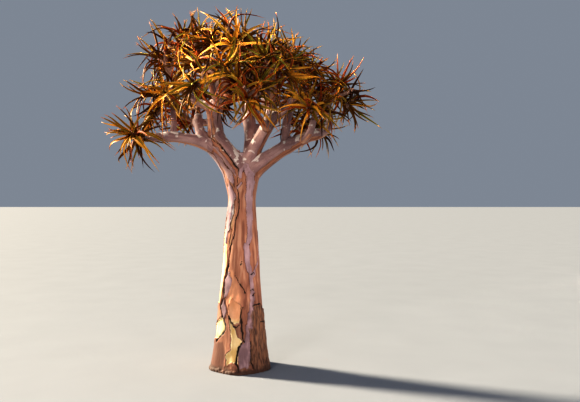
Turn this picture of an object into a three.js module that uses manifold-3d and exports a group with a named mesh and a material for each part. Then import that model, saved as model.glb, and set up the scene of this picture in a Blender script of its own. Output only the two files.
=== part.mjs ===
// A kokerboom, or quiver tree: a stout, smooth-barked tree aloe whose boughs fork again and again
// into a round crown, with a rosette of narrow fleshy leaves on the end of every twig.
//
// Units are millimetres, +Z is up, and the origin is the middle of the trunk where it meets the
// ground. +X is to the right and +Y is away from someone who faces the tree's front.
//
// The trunk and each bough are one tapering solid. Each mass of foliage is one solid too: a stem that
// goes on from a bough's tip, a twig that forks off it for every further rosette, and the leaves.

import * as THREE from "three";
import { mergeVertices } from "three/addons/utils/BufferGeometryUtils.js";
import Module from "manifold-3d";

const wasm = await Module();
wasm.setup();

// Trunk
const TRUNK_HEIGHT = 1935; // to the top of the fork
const TRUNK_FOOT_RADIUS = 246;
const TRUNK_TAPER = 0.084; // radius lost for each millimetre of height, up to the neck
const TRUNK_NECK_HEIGHT = 1500; // where it is slimmest, below the fork
const FORK_SWELL = 26; // how much the radius grows again above the neck
const FORK_SWELL_HEIGHT = 240; // height over which it does
const TRUNK_TOP_RADIUS = 40;
const SHOULDER_HEIGHT = 220; // of the rounded top, between the boughs
const TRUNK_LEAN = 24; // how far the top stands to the right of the foot
const ROOT_FLARE = 20; // extra radius at the ground
const ROOT_FLARE_HEIGHT = 110; // height over which the flare dies away to about a third
const ROOT_LOBES = 5;
const ROOT_LOBE_DEPTH = 0.05; // of the radius, at the ground
const TRUNK_SIDES = 20;
const TRUNK_STEPS = 12;

// Boughs and twigs
const BOUGH_SIDES = 8;
const BOUGH_STEP_LENGTH = 130;
const CLEARANCE = 0.3; // between two solids that touch on the real tree
const TWIG_SIDES = 3;
const TWIG_STEPS = 2;
const STEM_STEPS = 3;
const TWIG_TIP_RADIUS = 22;
const FIRST_FORK = 0.4; // how far along the stem its first twig leaves it
const FORK_STEP = 0.13; // and how much further each of the rest
const FORK_FOOT = 0.72; // a twig's radius at its foot, of the stem's there
const CROWN_HEART = new THREE.Vector3(20, 60, 2050); // the crown grows outward from here

// Rosettes, each on the end of a twig
const RING_SHAKE = 0.3; // radians by which a rosette may be turned from its even place in the ring
const NEAREST_REACH = 0.9; // of its mass's spread, and
const REACH_RANGE = 0.25; // how much further a rosette may stand
const FRONT_REACH = 0.6; // how far a fourth rosette stands in front of the ring, of its reach
const OUTWARD_PULL = 0.62; // a rosette faces partly away from the crown's heart,
const UPWARD_PULL = 0.45; // partly up
const SIDEWAYS_PULL = 0.35; // and partly away from its neighbours
const ROSETTE_DEPTH = 110; // length of twig that bears leaves

// Leaves
const LEAVES_PER_ROSETTE = 12;
const LEAF_LENGTH = 345;
const LEAF_WIDTH = 46; // where it is widest
const LEAF_THICKNESS = 13;
const WIDEST_AT = 0.27; // share of its length from its root, which tapers too
const SHORTEST_LEAF = 0.86; // of LEAF_LENGTH, and
const LENGTH_RANGE = 0.28; // how much longer a leaf may be
const YOUNG_LEAF_LENGTH = 0.72; // of a full-grown one
const GROWN_AT = 0.45; // age at which a leaf is full-grown: 0 is the youngest, 1 the oldest
const YOUNG_LEAF_ANGLE = 12; // degrees between the rosette's axis and its youngest leaf
const OLD_LEAF_ANGLE = 112; // and its oldest, which hangs down
const ANGLE_SHAKE = 16; // range of each leaf's own difference from that
const OPENING = 0.85; // power of the age by which leaves open: below 1, most are well open
const LEAST_DROOP = 0.1; // how far a level leaf's outer half turns down, as a slope
const DROOP_RANGE = 0.75;
const CURL = 0.25; // how far its outer half may turn along the rosette's axis
const ROOT_REACH = 3; // from the twig's middle line to where a leaf starts, inside it
const TURN_PER_LEAF = 137.5; // degrees round the twig from each leaf to the next
const LEAF_CLEARANCE = 0.8; // from limbs and from other masses
const SHORTER_LEAVES = [1, 0.8, 0.62]; // lengths tried before a crowded leaf is left out

const UP = new THREE.Vector3(0, 0, 1);

// Each bough: where its foot is, as a place inside the trunk or a share of the way along another
// bough, where its tip is, how far its middle bows from a straight line, and its radius at either end.
const BOUGHS = [
  { name: "left_bough", foot: [2, -8, 1695],
    tip: [-216, -15, 2022], bow: [15, 0, 11], radii: [119, 98] },
  { name: "left_upright_bough", on: "left_bough", at: 0.92,
    tip: [-241, -18, 2365], bow: [-12, 0, 0], radii: [72, 52] },
  { name: "left_level_bough", on: "left_bough", at: 0.82,
    tip: [-830, -130, 2062], bow: [-10, 0, 56], radii: [60, 27] },
  { name: "right_bough", foot: [60, -6, 1735],
    tip: [700, -90, 2108], bow: [-8, 0, 46], radii: [82, 36] },
  { name: "centre_bough", foot: [40, -4, 1820],
    tip: [294, -30, 2280], bow: [0, 0, 0], radii: [66, 45] },
  { name: "back_bough", foot: [42, 44, 1800],
    tip: [58, 232, 2290], bow: [26, 10, 0], radii: [54, 39] },
  { name: "left_riser", on: "left_level_bough", at: 0.7,
    tip: [-604, -50, 2320], bow: [20, 0, -64], radii: [25, 18] },
  { name: "left_back_riser", on: "left_level_bough", at: 0.24,
    tip: [-420, 250, 2310], bow: [-20, -70, 40], radii: [38, 28] },
  { name: "left_cross_bough", on: "left_back_riser", at: 0.55,
    tip: [-235, 430, 2400], bow: [30, 20, -40], radii: [27, 21] },
  { name: "upper_left_bough", on: "left_upright_bough", at: 0.95,
    tip: [-540, -40, 2540], bow: [-30, 0, -20], radii: [38, 25] },
  { name: "left_crown_bough", on: "left_upright_bough", at: 0.97,
    tip: [-175, -95, 2530], bow: [24, 0, -12], radii: [44, 33] },
  { name: "top_left_bough", on: "left_crown_bough", at: 0.94,
    tip: [-265, -10, 2740], bow: [30, 0, 0], radii: [32, 24] },
  { name: "front_left_bough", on: "left_crown_bough", at: 0.5,
    tip: [-215, -400, 2500], bow: [0, -30, -50], radii: [30, 22] },
  { name: "front_top_bough", on: "left_crown_bough", at: 0.95,
    tip: [-70, -260, 2690], bow: [20, -20, -30], radii: [28, 22] },
  { name: "centre_right_bough", on: "centre_bough", at: 0.95,
    tip: [502, -60, 2560], bow: [50, 0, -40], radii: [37, 27] },
  { name: "centre_top_bough", on: "centre_bough", at: 0.96,
    tip: [245, 5, 2560], bow: [-30, 0, 10], radii: [38, 28] },
  { name: "front_right_top_bough", on: "centre_top_bough", at: 0.5,
    tip: [310, -260, 2540], bow: [20, -40, -50], radii: [27, 21] },
  { name: "front_centre_bough", on: "centre_bough", at: 0.78,
    tip: [150, -410, 2262], bow: [30, -60, -50], radii: [30, 22] },
  { name: "right_tip_bough", on: "right_bough", at: 0.97,
    tip: [800, -20, 2310], bow: [50, 0, -40], radii: [36, 25] },
  { name: "front_right_bough", on: "right_bough", at: 0.8,
    tip: [650, -300, 2200], bow: [10, -60, -40], radii: [29, 22] },
  { name: "right_riser", on: "right_bough", at: 0.6,
    tip: [500, 170, 2460], bow: [-40, -50, 0], radii: [36, 27] },
  { name: "back_right_low_bough", on: "right_bough", at: 0.68,
    tip: [570, 290, 2135], bow: [20, 30, -30], radii: [27, 20] },
  { name: "back_top_bough", on: "back_bough", at: 0.95,
    tip: [60, 300, 2620], bow: [-10, 30, 0], radii: [34, 25] },
  { name: "back_out_bough", on: "back_bough", at: 0.94,
    tip: [-10, 590, 2470], bow: [0, 50, -40], radii: [32, 24] },
  { name: "back_right_bough", on: "back_bough", at: 0.8,
    tip: [290, 480, 2410], bow: [40, 40, -40], radii: [31, 22] },
];

// Each mass: the bough that bears it, the middle of its space, how far from there its rosettes
// stand, how many there are, and how far their ring is turned, in degrees.
const MASSES = [
  { name: "low_left_mass", bough: "left_level_bough",
    middle: [-925, -70, 2110], spread: 120, rosettes: 2, turn: 8 },
  { name: "mid_left_mass", bough: "left_riser",
    middle: [-700, -110, 2420], spread: 165, rosettes: 4, turn: 20 },
  { name: "back_left_mass", bough: "left_back_riser",
    middle: [-570, 470, 2430], spread: 170, rosettes: 3, turn: 0 },
  { name: "back_cross_mass", bough: "left_cross_bough",
    middle: [-250, 640, 2650], spread: 165, rosettes: 3, turn: 40 },
  { name: "upper_left_mass", bough: "upper_left_bough",
    middle: [-660, 40, 2880], spread: 165, rosettes: 3, turn: 75 },
  { name: "top_left_mass", bough: "top_left_bough",
    middle: [-400, 40, 2985], spread: 160, rosettes: 3, turn: 5 },
  { name: "front_left_mass", bough: "front_left_bough",
    middle: [-270, -560, 2580], spread: 170, rosettes: 3, turn: 20 },
  { name: "front_top_mass", bough: "front_top_bough",
    middle: [-70, -340, 2890], spread: 165, rosettes: 3, turn: 60 },
  { name: "top_right_mass", bough: "centre_top_bough",
    middle: [150, 50, 2940], spread: 165, rosettes: 3, turn: 0 },
  { name: "upper_right_mass", bough: "centre_right_bough",
    middle: [500, -10, 2790], spread: 155, rosettes: 3, turn: 50 },
  { name: "front_right_top_mass", bough: "front_right_top_bough",
    middle: [370, -460, 2670], spread: 150, rosettes: 3, turn: 30 },
  { name: "front_centre_mass", bough: "front_centre_bough",
    middle: [110, -620, 2430], spread: 130, rosettes: 3, turn: 30 },
  { name: "right_mass", bough: "right_tip_bough",
    middle: [950, 60, 2490], spread: 145, rosettes: 3, turn: 10 },
  { name: "front_right_mass", bough: "front_right_bough",
    middle: [660, -430, 2320], spread: 105, rosettes: 2, turn: 10 },
  { name: "mid_right_mass", bough: "right_riser",
    middle: [640, 330, 2690], spread: 160, rosettes: 3, turn: 50 },
  { name: "low_back_right_mass", bough: "back_right_low_bough",
    middle: [660, 480, 2250], spread: 120, rosettes: 2, turn: 0 },
  { name: "back_top_mass", bough: "back_top_bough",
    middle: [80, 400, 2900], spread: 160, rosettes: 3, turn: 20 },
  { name: "back_mass", bough: "back_out_bough",
    middle: [-10, 830, 2640], spread: 150, rosettes: 3, turn: 0 },
  { name: "back_right_mass", bough: "back_right_bough",
    middle: [400, 730, 2600], spread: 155, rosettes: 3, turn: 60 },
];
const SPACE_MARGIN = 350; // how far a mass's space reaches beyond its rosettes
const SPACE_BELOW = 235; // and how far below them

const BARK = new THREE.MeshStandardMaterial({ color: 0xb08a6c, roughness: 0.72, metalness: 0 });
const BOUGH_BARK = new THREE.MeshStandardMaterial({ color: 0xa08a86, roughness: 0.68, metalness: 0 });
const LEAF = new THREE.MeshStandardMaterial({ color: 0x7d7334, roughness: 0.5, metalness: 0 });

const { degToRad, lerp, smoothstep } = THREE.MathUtils;

// Random numbers from 0 to 1, the same on every run for one seed.
function randomFrom(seed) {
  let state = seed >>> 0;
  return () => {
    state = (Math.imul(state, 1664525) + 1013904223) >>> 0;
    return state / 4294967296;
  };
}

// A closed three.js geometry as a solid, once only its corners are left and shared.
function solidOf(geometry) {
  geometry.deleteAttribute("normal");
  geometry.deleteAttribute("uv");
  const merged = mergeVertices(geometry, 1e-4);
  return new wasm.Manifold(
    new wasm.Mesh({
      numProp: 3,
      vertProperties: merged.attributes.position.array,
      triVerts: new Uint32Array(merged.index.array),
    }),
  );
}

function geometryOf(solid) {
  const { numProp, numVert, vertProperties, triVerts } = solid.getMesh();
  const corners = new Float32Array(numVert * 3);
  for (let i = 0; i < numVert; i++) corners.set(vertProperties.subarray(i * numProp, i * numProp + 3), i * 3);
  const geometry = new THREE.BufferGeometry();
  geometry.setAttribute("position", new THREE.BufferAttribute(corners, 3));
  geometry.setIndex(new THREE.BufferAttribute(triVerts, 1));
  geometry.computeVertexNormals();
  return geometry;
}

function largestPiece(solid) {
  const pieces = solid.decompose();
  return pieces.reduce((best, piece) => (piece.volume() > best.volume() ? piece : best));
}

// Three corners joined to a point on either side of them.
function bipyramid(ring, start, end) {
  const faces = ring.flatMap((corner, i) => {
    const next = ring[(i + 1) % 3];
    return [start, next, corner, end, corner, next];
  });
  return new THREE.BufferGeometry().setFromPoints(faces);
}

// A limb that runs along a curve: a cylinder whose axis is bent to it, with a flat end across the
// curve at each end. grow makes it that much bigger all over.
function limbSolid(curve, radiusAt, sides, steps, grow = 0) {
  const cylinder = new THREE.CylinderGeometry(1, 1, 1, sides, steps);
  const frames = curve.computeFrenetFrames(steps, false);
  const corner = cylinder.attributes.position;
  for (let i = 0; i < corner.count; i++) {
    const [x, y, z] = [corner.getX(i), corner.getY(i), corner.getZ(i)];
    const step = Math.round((y + 0.5) * steps);
    const share = step / steps;
    const radius = radiusAt(share, Math.atan2(z, x)) + grow;
    const beyond = step === 0 ? -grow : step === steps ? grow : 0;
    const point = curve.getPointAt(share)
      .addScaledVector(frames.normals[step], x * radius)
      .addScaledVector(frames.binormals[step], -z * radius)
      .addScaledVector(frames.tangents[step], beyond);
    corner.setXYZ(i, point.x, point.y, point.z);
  }
  return solidOf(cylinder);
}

function trunkSolid(grow = 0) {
  const top = new THREE.Vector3(TRUNK_LEAN, 0, TRUNK_HEIGHT);
  const curve = new THREE.QuadraticBezierCurve3(new THREE.Vector3(), new THREE.Vector3(0, 0, TRUNK_HEIGHT / 2), top);
  const radiusAt = (share, angle) => {
    const height = share * TRUNK_HEIGHT;
    const flare = Math.exp(-height / ROOT_FLARE_HEIGHT);
    const swell = smoothstep(height, TRUNK_NECK_HEIGHT, TRUNK_NECK_HEIGHT + FORK_SWELL_HEIGHT);
    const lobe = 1 + ROOT_LOBE_DEPTH * (1 - share) * Math.cos(ROOT_LOBES * angle);
    const plain = (TRUNK_FOOT_RADIUS - TRUNK_TAPER * Math.min(height, TRUNK_NECK_HEIGHT)) * lobe;
    const full = plain + ROOT_FLARE * flare + FORK_SWELL * swell;
    const rounding = smoothstep(height, TRUNK_HEIGHT - SHOULDER_HEIGHT, TRUNK_HEIGHT);
    return lerp(full, TRUNK_TOP_RADIUS, rounding);
  };
  return limbSolid(curve, radiusAt, TRUNK_SIDES, TRUNK_STEPS, grow);
}

// The line from foot to tip, whose middle stands off the straight line by bow.
function bowedLine(foot, tip, bow) {
  const middle = foot.clone().add(tip).multiplyScalar(0.5).addScaledVector(bow, 2);
  return new THREE.QuadraticBezierCurve3(foot, middle, tip);
}

function boughLine(bough, boughs) {
  const foot = bough.on ? boughs.get(bough.on).line.getPointAt(bough.at) : new THREE.Vector3(...bough.foot);
  return bowedLine(foot, new THREE.Vector3(...bough.tip), new THREE.Vector3(...bough.bow));
}

function boughSolid(bough, line, grow = 0) {
  const [footRadius, tipRadius] = bough.radii;
  const steps = Math.max(3, Math.round(line.getLength() / BOUGH_STEP_LENGTH));
  return limbSolid(line, (share) => lerp(footRadius, tipRadius, share), BOUGH_SIDES, steps, grow);
}

// Where a mass's rosettes stand: round a ring that faces away from the crown's heart, but a fourth
// one in front of the ring's middle.
function rosettePlaces(mass, random) {
  const middle = new THREE.Vector3(...mass.middle);
  const outward = middle.clone().sub(CROWN_HEART).normalize();
  const level = new THREE.Vector3().crossVectors(UP, outward).normalize();
  const rising = new THREE.Vector3().crossVectors(outward, level);
  const inRing = Math.min(mass.rosettes, 3);
  return Array.from({ length: mass.rosettes }, (_, i) => {
    const angle = degToRad(mass.turn) + (2 * Math.PI * i) / inRing + RING_SHAKE * (random() - 0.5);
    const reach = mass.spread * (NEAREST_REACH + REACH_RANGE * random());
    const inFront = outward.clone().multiplyScalar(FRONT_REACH);
    const round = level.clone().multiplyScalar(Math.cos(angle)).addScaledVector(rising, Math.sin(angle));
    const place = middle.clone().addScaledVector(i < inRing ? round : inFront, reach);
    const away = place.clone().sub(CROWN_HEART).normalize();
    const sideways = place.clone().sub(middle).normalize();
    const axis = away.multiplyScalar(OUTWARD_PULL).addScaledVector(UP, UPWARD_PULL);
    return { place, axis: axis.addScaledVector(sideways, SIDEWAYS_PULL).normalize() };
  });
}

// A twig leaves its fork along one direction and reaches its end along another.
function twigLine(from, along, to, arriving) {
  const third = from.distanceTo(to) / 3;
  return new THREE.CubicBezierCurve3(
    from,
    from.clone().addScaledVector(along, third),
    to.clone().addScaledVector(arriving, -third),
    to,
  );
}

// The stem goes on from the bough's tip to the rosette that lies most nearly ahead, and a twig
// leaves it for each of the others in turn.
function twigsOf(bough, tip, tangent, rosettes) {
  const start = tip.clone().addScaledVector(tangent, CLEARANCE);
  const ahead = ({ place }) => place.clone().sub(start).normalize().dot(tangent);
  const [first, ...others] = rosettes.sort((a, b) => ahead(b) - ahead(a));
  const stemFoot = bough.radii[1];
  const stem = twigLine(start, tangent, first.place, first.axis);
  const forks = others.map(({ place, axis }, i) => {
    const share = FIRST_FORK + i * FORK_STEP;
    const from = stem.getPointAt(share);
    const towards = place.clone().sub(from).normalize();
    const along = stem.getTangentAt(share).add(towards).normalize();
    const foot = lerp(stemFoot, TWIG_TIP_RADIUS, share) * FORK_FOOT;
    return { line: twigLine(from, along, place, axis), foot, steps: TWIG_STEPS };
  });
  return [{ line: stem, foot: stemFoot, steps: STEM_STEPS }, ...forks];
}

function twigSolid({ line, foot, steps }) {
  return limbSolid(line, (share) => lerp(foot, TWIG_TIP_RADIUS, share), TWIG_SIDES, steps);
}

// A rosette's leaves sit on the last straight length of its twig, which sets their frame: axis along
// the twig, and two directions across it.
function rosetteOn({ line, steps }, turn) {
  const top = line.getPointAt(1);
  const axis = top.clone().sub(line.getPointAt(1 - 1 / steps)).normalize();
  const side = line.computeFrenetFrames(steps, false).normals[steps];
  return { top, axis, side, across: new THREE.Vector3().crossVectors(axis, side).normalize(), turn };
}

// One leaf of a rosette: its middle line, from inside the twig to its point, and the direction of
// its width. Leaf 0 is the youngest. own holds the leaf's four random numbers.
function leafOf({ top, axis, side, across, turn }, index, length, own) {
  const age = (index + 0.5) / LEAVES_PER_ROSETTE;
  const round = degToRad(TURN_PER_LEAF * index) + turn;
  const radial = side.clone().multiplyScalar(Math.cos(round)).addScaledVector(across, Math.sin(round));
  const opening = lerp(YOUNG_LEAF_ANGLE, OLD_LEAF_ANGLE, age ** OPENING);
  const lean = degToRad(opening + ANGLE_SHAKE * (own[0] - 0.5));
  const grown = lerp(YOUNG_LEAF_LENGTH, 1, Math.min(1, age / GROWN_AT));
  const half = (length * grown * (SHORTEST_LEAF + LENGTH_RANGE * own[1])) / 2;
  const droop = (LEAST_DROOP + DROOP_RANGE * own[2]) * Math.sin(lean);
  const inner = axis.clone().multiplyScalar(Math.cos(lean)).addScaledVector(radial, Math.sin(lean));
  const outer = inner.clone().addScaledVector(UP, -droop).addScaledVector(axis, CURL * own[3]).normalize();
  const root = top.clone().addScaledVector(axis, -ROSETTE_DEPTH * age).addScaledVector(radial, ROOT_REACH);
  const bend = root.clone().addScaledVector(inner, half);
  const point = bend.clone().addScaledVector(outer, half);
  const width = new THREE.Vector3().crossVectors(axis, radial).normalize();
  return { line: new THREE.QuadraticBezierCurve3(root, bend, point), width };
}

// Flat above, with a keel below, and a point at either end. Its three corners, where it is widest,
// are the keel and the two edges.
function leafSolid({ line, width }, grow = 0) {
  const above = new THREE.Vector3().crossVectors(line.getTangentAt(WIDEST_AT), width).normalize();
  const deep = LEAF_THICKNESS + 2 * grow;
  const ring = [0, 1, -1].map((edge) =>
    line.getPointAt(WIDEST_AT)
      .addScaledVector(width, edge * (LEAF_WIDTH / 2 + grow))
      .addScaledVector(above, edge === 0 ? grow - deep : grow),
  );
  return solidOf(bipyramid(ring, line.getPointAt(0), line.getPointAt(1)));
}

function insideSpace({ line }, mass) {
  const step = line.getPointAt(1).sub(new THREE.Vector3(...mass.middle));
  return step.length() < mass.spread + SPACE_MARGIN && step.z > -mass.spread - SPACE_BELOW;
}

function touches(solid, others) {
  return others.some((other) => !solid.intersect(other).isEmpty());
}

// The stem and twigs of a mass, and the rosettes they bear.
function frameworkOf(mass, seed, bough) {
  const random = randomFrom(seed);
  const { line } = bough;
  const twigs = twigsOf(bough, line.getPointAt(1), line.getTangentAt(1), rosettePlaces(mass, random));
  const solid = wasm.Manifold.union(twigs.map(twigSolid)).subtract(bough.grown);
  const rosettes = twigs.map((twig) => rosetteOn(twig, 2 * Math.PI * random()));
  return { mass, random, solid, rosettes };
}

// The leaves of a rosette, each shortened or left out where it has no room.
function leavesOf(rosette, mass, random, obstacles) {
  const leaves = [];
  for (let i = 0; i < LEAVES_PER_ROSETTE; i++) {
    const own = [random(), random(), random(), random()];
    const tries = SHORTER_LEAVES.map((share) => leafOf(rosette, i, LEAF_LENGTH * share, own));
    const fits = (leaf) => insideSpace(leaf, mass) && !touches(leafSolid(leaf, LEAF_CLEARANCE), obstacles);
    const leaf = tries.find(fits);
    if (leaf) leaves.push(leafSolid(leaf));
  }
  return leaves;
}

function massSolid({ mass, random, solid, rosettes }, obstacles) {
  const leaves = rosettes.flatMap((rosette) => leavesOf(rosette, mass, random, obstacles));
  return largestPiece(wasm.Manifold.union([solid, ...leaves]));
}

const tree = new THREE.Group();

function addNode(name, solid, material) {
  const mesh = new THREE.Mesh(geometryOf(solid), material);
  mesh.name = name;
  tree.add(mesh);
}

const trunk = trunkSolid();
addNode("trunk", trunk, BARK);

// Each bough is cut clear of the limbs made before it, so its foot fits round them.
const boughs = new Map();
const limbs = [trunk];
const grownLimbs = [trunkSolid(CLEARANCE)];
for (const bough of BOUGHS) {
  const line = boughLine(bough, boughs);
  const cut = grownLimbs.reduce((solid, other) => solid.subtract(other), boughSolid(bough, line));
  const solid = largestPiece(cut);
  const grown = boughSolid(bough, line, CLEARANCE);
  boughs.set(bough.name, { ...bough, line, grown });
  limbs.push(solid);
  grownLimbs.push(grown);
  addNode(bough.name, solid, BOUGH_BARK);
}

// Every mass's twigs have their place before any leaf is tried.
const frameworks = MASSES.map((mass, i) => frameworkOf(mass, i + 1, boughs.get(mass.bough)));
const foliage = frameworks.map((framework) => framework.solid);
frameworks.forEach((framework, i) => {
  const others = foliage.filter((other, j) => j !== i);
  foliage[i] = massSolid(framework, [...limbs, ...others]);
  addNode(framework.mass.name, foliage[i], LEAF);
});

export default tree;
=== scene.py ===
# %% [markdown]
# # A kokerboom, bough by bough
#
# The kokerboom, or quiver tree, is a tree aloe. A stout trunk with scaly golden bark divides into
# smooth, powdery boughs that fork again and again, and each twig ends in a rosette of narrow leaves.
#
# A plain faceted model of the tree is loaded first. It gives every part its place and its size. This
# lesson then grows a skin of bark over the limbs, and twigs and leaves in place of each plain mass.

# %% Load the plain model
import math

import bmesh
import bpy
import numpy as np
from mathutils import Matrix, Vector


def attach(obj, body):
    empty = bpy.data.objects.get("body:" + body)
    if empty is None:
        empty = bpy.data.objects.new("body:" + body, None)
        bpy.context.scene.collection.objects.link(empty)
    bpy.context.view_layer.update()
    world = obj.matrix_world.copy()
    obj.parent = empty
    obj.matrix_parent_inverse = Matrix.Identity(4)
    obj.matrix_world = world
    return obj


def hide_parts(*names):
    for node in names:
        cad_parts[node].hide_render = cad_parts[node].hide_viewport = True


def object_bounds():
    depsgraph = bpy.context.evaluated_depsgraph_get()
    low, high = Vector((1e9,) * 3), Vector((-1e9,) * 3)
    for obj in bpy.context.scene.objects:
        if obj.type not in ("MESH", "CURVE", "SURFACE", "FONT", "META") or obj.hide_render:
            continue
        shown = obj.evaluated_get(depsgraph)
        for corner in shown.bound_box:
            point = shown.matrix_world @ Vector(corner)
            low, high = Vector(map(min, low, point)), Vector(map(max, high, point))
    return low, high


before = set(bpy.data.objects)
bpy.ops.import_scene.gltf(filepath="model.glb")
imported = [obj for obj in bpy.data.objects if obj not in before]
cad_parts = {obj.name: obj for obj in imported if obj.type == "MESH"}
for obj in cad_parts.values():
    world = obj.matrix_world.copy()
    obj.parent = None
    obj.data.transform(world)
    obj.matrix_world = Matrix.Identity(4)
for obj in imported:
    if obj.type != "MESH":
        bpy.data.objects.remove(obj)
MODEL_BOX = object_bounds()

print("the plain model has", len(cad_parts), "parts, in a box", MODEL_BOX)

# %% [markdown]
# ## Camera
#
# A level camera at eye height looks straight at the tree's front. Its lens is a little longer than a
# phone's, so the tree fills most of the picture and its vertical lines stay vertical.

# %% Set up the camera
camera = bpy.data.objects.new("camera", bpy.data.cameras.new("camera"))
camera.data.sensor_width = 36
camera.data.lens = 38.5
camera.location = (0.45, -5.64, 1.51)
camera.rotation_euler = (math.pi / 2, 0, 0)
bpy.context.collection.objects.link(camera)
bpy.context.scene.camera = camera
print("camera at", tuple(camera.location))

# %% [markdown]
# ## Curves
#
# Each limb and twig follows a Bézier curve, shaped by three or four control points. They are worked out
# here with numpy, not with Blender's curve objects, because leaves and bark need exact places and
# directions along them. A share of 0 is a curve's foot and 1 its tip, measured along its length.

# %% Follow a curve
UP = np.array([0.0, 0.0, 1.0])
MM = 0.001
CURVE_SAMPLES = 201
LENGTH_SAMPLES = 60
SMALL_STEP = 1e-4
NO_TURN = 1e-9


def unit(vectors):
    return vectors / np.linalg.norm(vectors, axis=-1, keepdims=True)


def mix(low, high, share):
    return low + (high - low) * share


def smooth_step(value, low, high):
    share = np.clip((value - low) / (high - low), 0, 1)
    return share * share * (3 - 2 * share)


def bezier(control, t):
    layer = [np.asarray(point, float)[None, :] for point in control]
    while len(layer) > 1:
        layer = [mix(a, b, t[:, None]) for a, b in zip(layer, layer[1:])]
    return layer[0]


def parameters(control, shares):
    """Turn shares of the curve's length into the parameters that give them."""
    t = np.linspace(0, 1, CURVE_SAMPLES)
    gaps = np.linalg.norm(np.diff(bezier(control, t), axis=0), axis=1)
    length = np.concatenate([[0], np.cumsum(gaps)])
    return np.interp(shares, length / length[-1], t)


def points_on(control, shares):
    return bezier(control, parameters(control, np.atleast_1d(shares)))


def directions_on(control, shares):
    t = parameters(control, np.atleast_1d(shares))
    ahead = bezier(control, np.minimum(t + SMALL_STEP, 1))
    return unit(ahead - bezier(control, np.maximum(t - SMALL_STEP, 0)))


def length_of(control):
    steps = np.diff(bezier(control, np.linspace(0, 1, LENGTH_SAMPLES)), axis=0)
    return np.linalg.norm(steps, axis=1).sum()


def turned(vector, axis, angle):
    return vector * math.cos(angle) + np.cross(axis, vector) * math.sin(angle)


def sides_along(directions):
    """A direction across the curve at each step, which follows its bends without twisting."""
    first = directions[0]
    flattest = np.zeros(3)
    flattest[2 - np.argmin(abs(first)[::-1])] = 1
    sides = [np.cross(first, unit(np.cross(first, flattest)))]
    for before, after in zip(directions, directions[1:]):
        axis = np.cross(before, after)
        size = np.linalg.norm(axis)
        side = sides[-1]
        if size > NO_TURN:
            side = turned(side, axis / size, math.asin(min(1, size)))
            side = unit(side - after * (side @ after))
        sides.append(side)
    return np.array(sides)


# %% [markdown]
# ## The limbs
#
# The tables below repeat the plain model's own sizes in millimetres: where each bough leaves the
# trunk or another bough, where its tip is, how far it bows and how thick it is at either end.

# %% The trunk and boughs
TRUNK_HEIGHT = 1935
TRUNK_FOOT_RADIUS = 246
TRUNK_TAPER = 0.084
TRUNK_NECK_HEIGHT = 1500
FORK_SWELL = 26
FORK_SWELL_HEIGHT = 240
TRUNK_TOP_RADIUS = 40
SHOULDER_HEIGHT = 220
TRUNK_LEAN = 24
ROOT_FLARE = 20
ROOT_FLARE_HEIGHT = 110
ROOT_LOBES = 5
ROOT_LOBE_DEPTH = 0.05

# name, what it grows from and where along that (or the place of its foot), tip, bow, radii
BOUGHS = [
    ("left_bough", (2, -8, 1695), (-216, -15, 2022), (15, 0, 11), (119, 98)),
    ("left_upright_bough", ("left_bough", 0.92), (-241, -18, 2365), (-12, 0, 0), (72, 52)),
    ("left_level_bough", ("left_bough", 0.82), (-830, -130, 2062), (-10, 0, 56), (60, 27)),
    ("right_bough", (60, -6, 1735), (700, -90, 2108), (-8, 0, 46), (82, 36)),
    ("centre_bough", (40, -4, 1820), (294, -30, 2280), (0, 0, 0), (66, 45)),
    ("back_bough", (42, 44, 1800), (58, 232, 2290), (26, 10, 0), (54, 39)),
    ("left_riser", ("left_level_bough", 0.7), (-604, -50, 2320), (20, 0, -64), (25, 18)),
    ("left_back_riser", ("left_level_bough", 0.24), (-420, 250, 2310), (-20, -70, 40), (38, 28)),
    ("left_cross_bough", ("left_back_riser", 0.55), (-235, 430, 2400), (30, 20, -40), (27, 21)),
    ("upper_left_bough", ("left_upright_bough", 0.95), (-540, -40, 2540), (-30, 0, -20), (38, 25)),
    ("left_crown_bough", ("left_upright_bough", 0.97), (-175, -95, 2530), (24, 0, -12), (44, 33)),
    ("top_left_bough", ("left_crown_bough", 0.94), (-265, -10, 2740), (30, 0, 0), (32, 24)),
    ("front_left_bough", ("left_crown_bough", 0.5), (-215, -400, 2500), (0, -30, -50), (30, 22)),
    ("front_top_bough", ("left_crown_bough", 0.95), (-70, -260, 2690), (20, -20, -30), (28, 22)),
    ("centre_right_bough", ("centre_bough", 0.95), (502, -60, 2560), (50, 0, -40), (37, 27)),
    ("centre_top_bough", ("centre_bough", 0.96), (245, 5, 2560), (-30, 0, 10), (38, 28)),
    ("front_right_top_bough", ("centre_top_bough", 0.5), (310, -260, 2540), (20, -40, -50), (27, 21)),
    ("front_centre_bough", ("centre_bough", 0.78), (150, -410, 2262), (30, -60, -50), (30, 22)),
    ("right_tip_bough", ("right_bough", 0.97), (800, -20, 2310), (50, 0, -40), (36, 25)),
    ("front_right_bough", ("right_bough", 0.8), (650, -300, 2200), (10, -60, -40), (29, 22)),
    ("right_riser", ("right_bough", 0.6), (500, 170, 2460), (-40, -50, 0), (36, 27)),
    ("back_right_low_bough", ("right_bough", 0.68), (570, 290, 2135), (20, 30, -30), (27, 20)),
    ("back_top_bough", ("back_bough", 0.95), (60, 300, 2620), (-10, 30, 0), (34, 25)),
    ("back_out_bough", ("back_bough", 0.94), (-10, 590, 2470), (0, 50, -40), (32, 24)),
    ("back_right_bough", ("back_bough", 0.8), (290, 480, 2410), (40, 40, -40), (31, 22)),
]

BOUGH_STEP = 0.035
FEWEST_STEPS = 6


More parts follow.
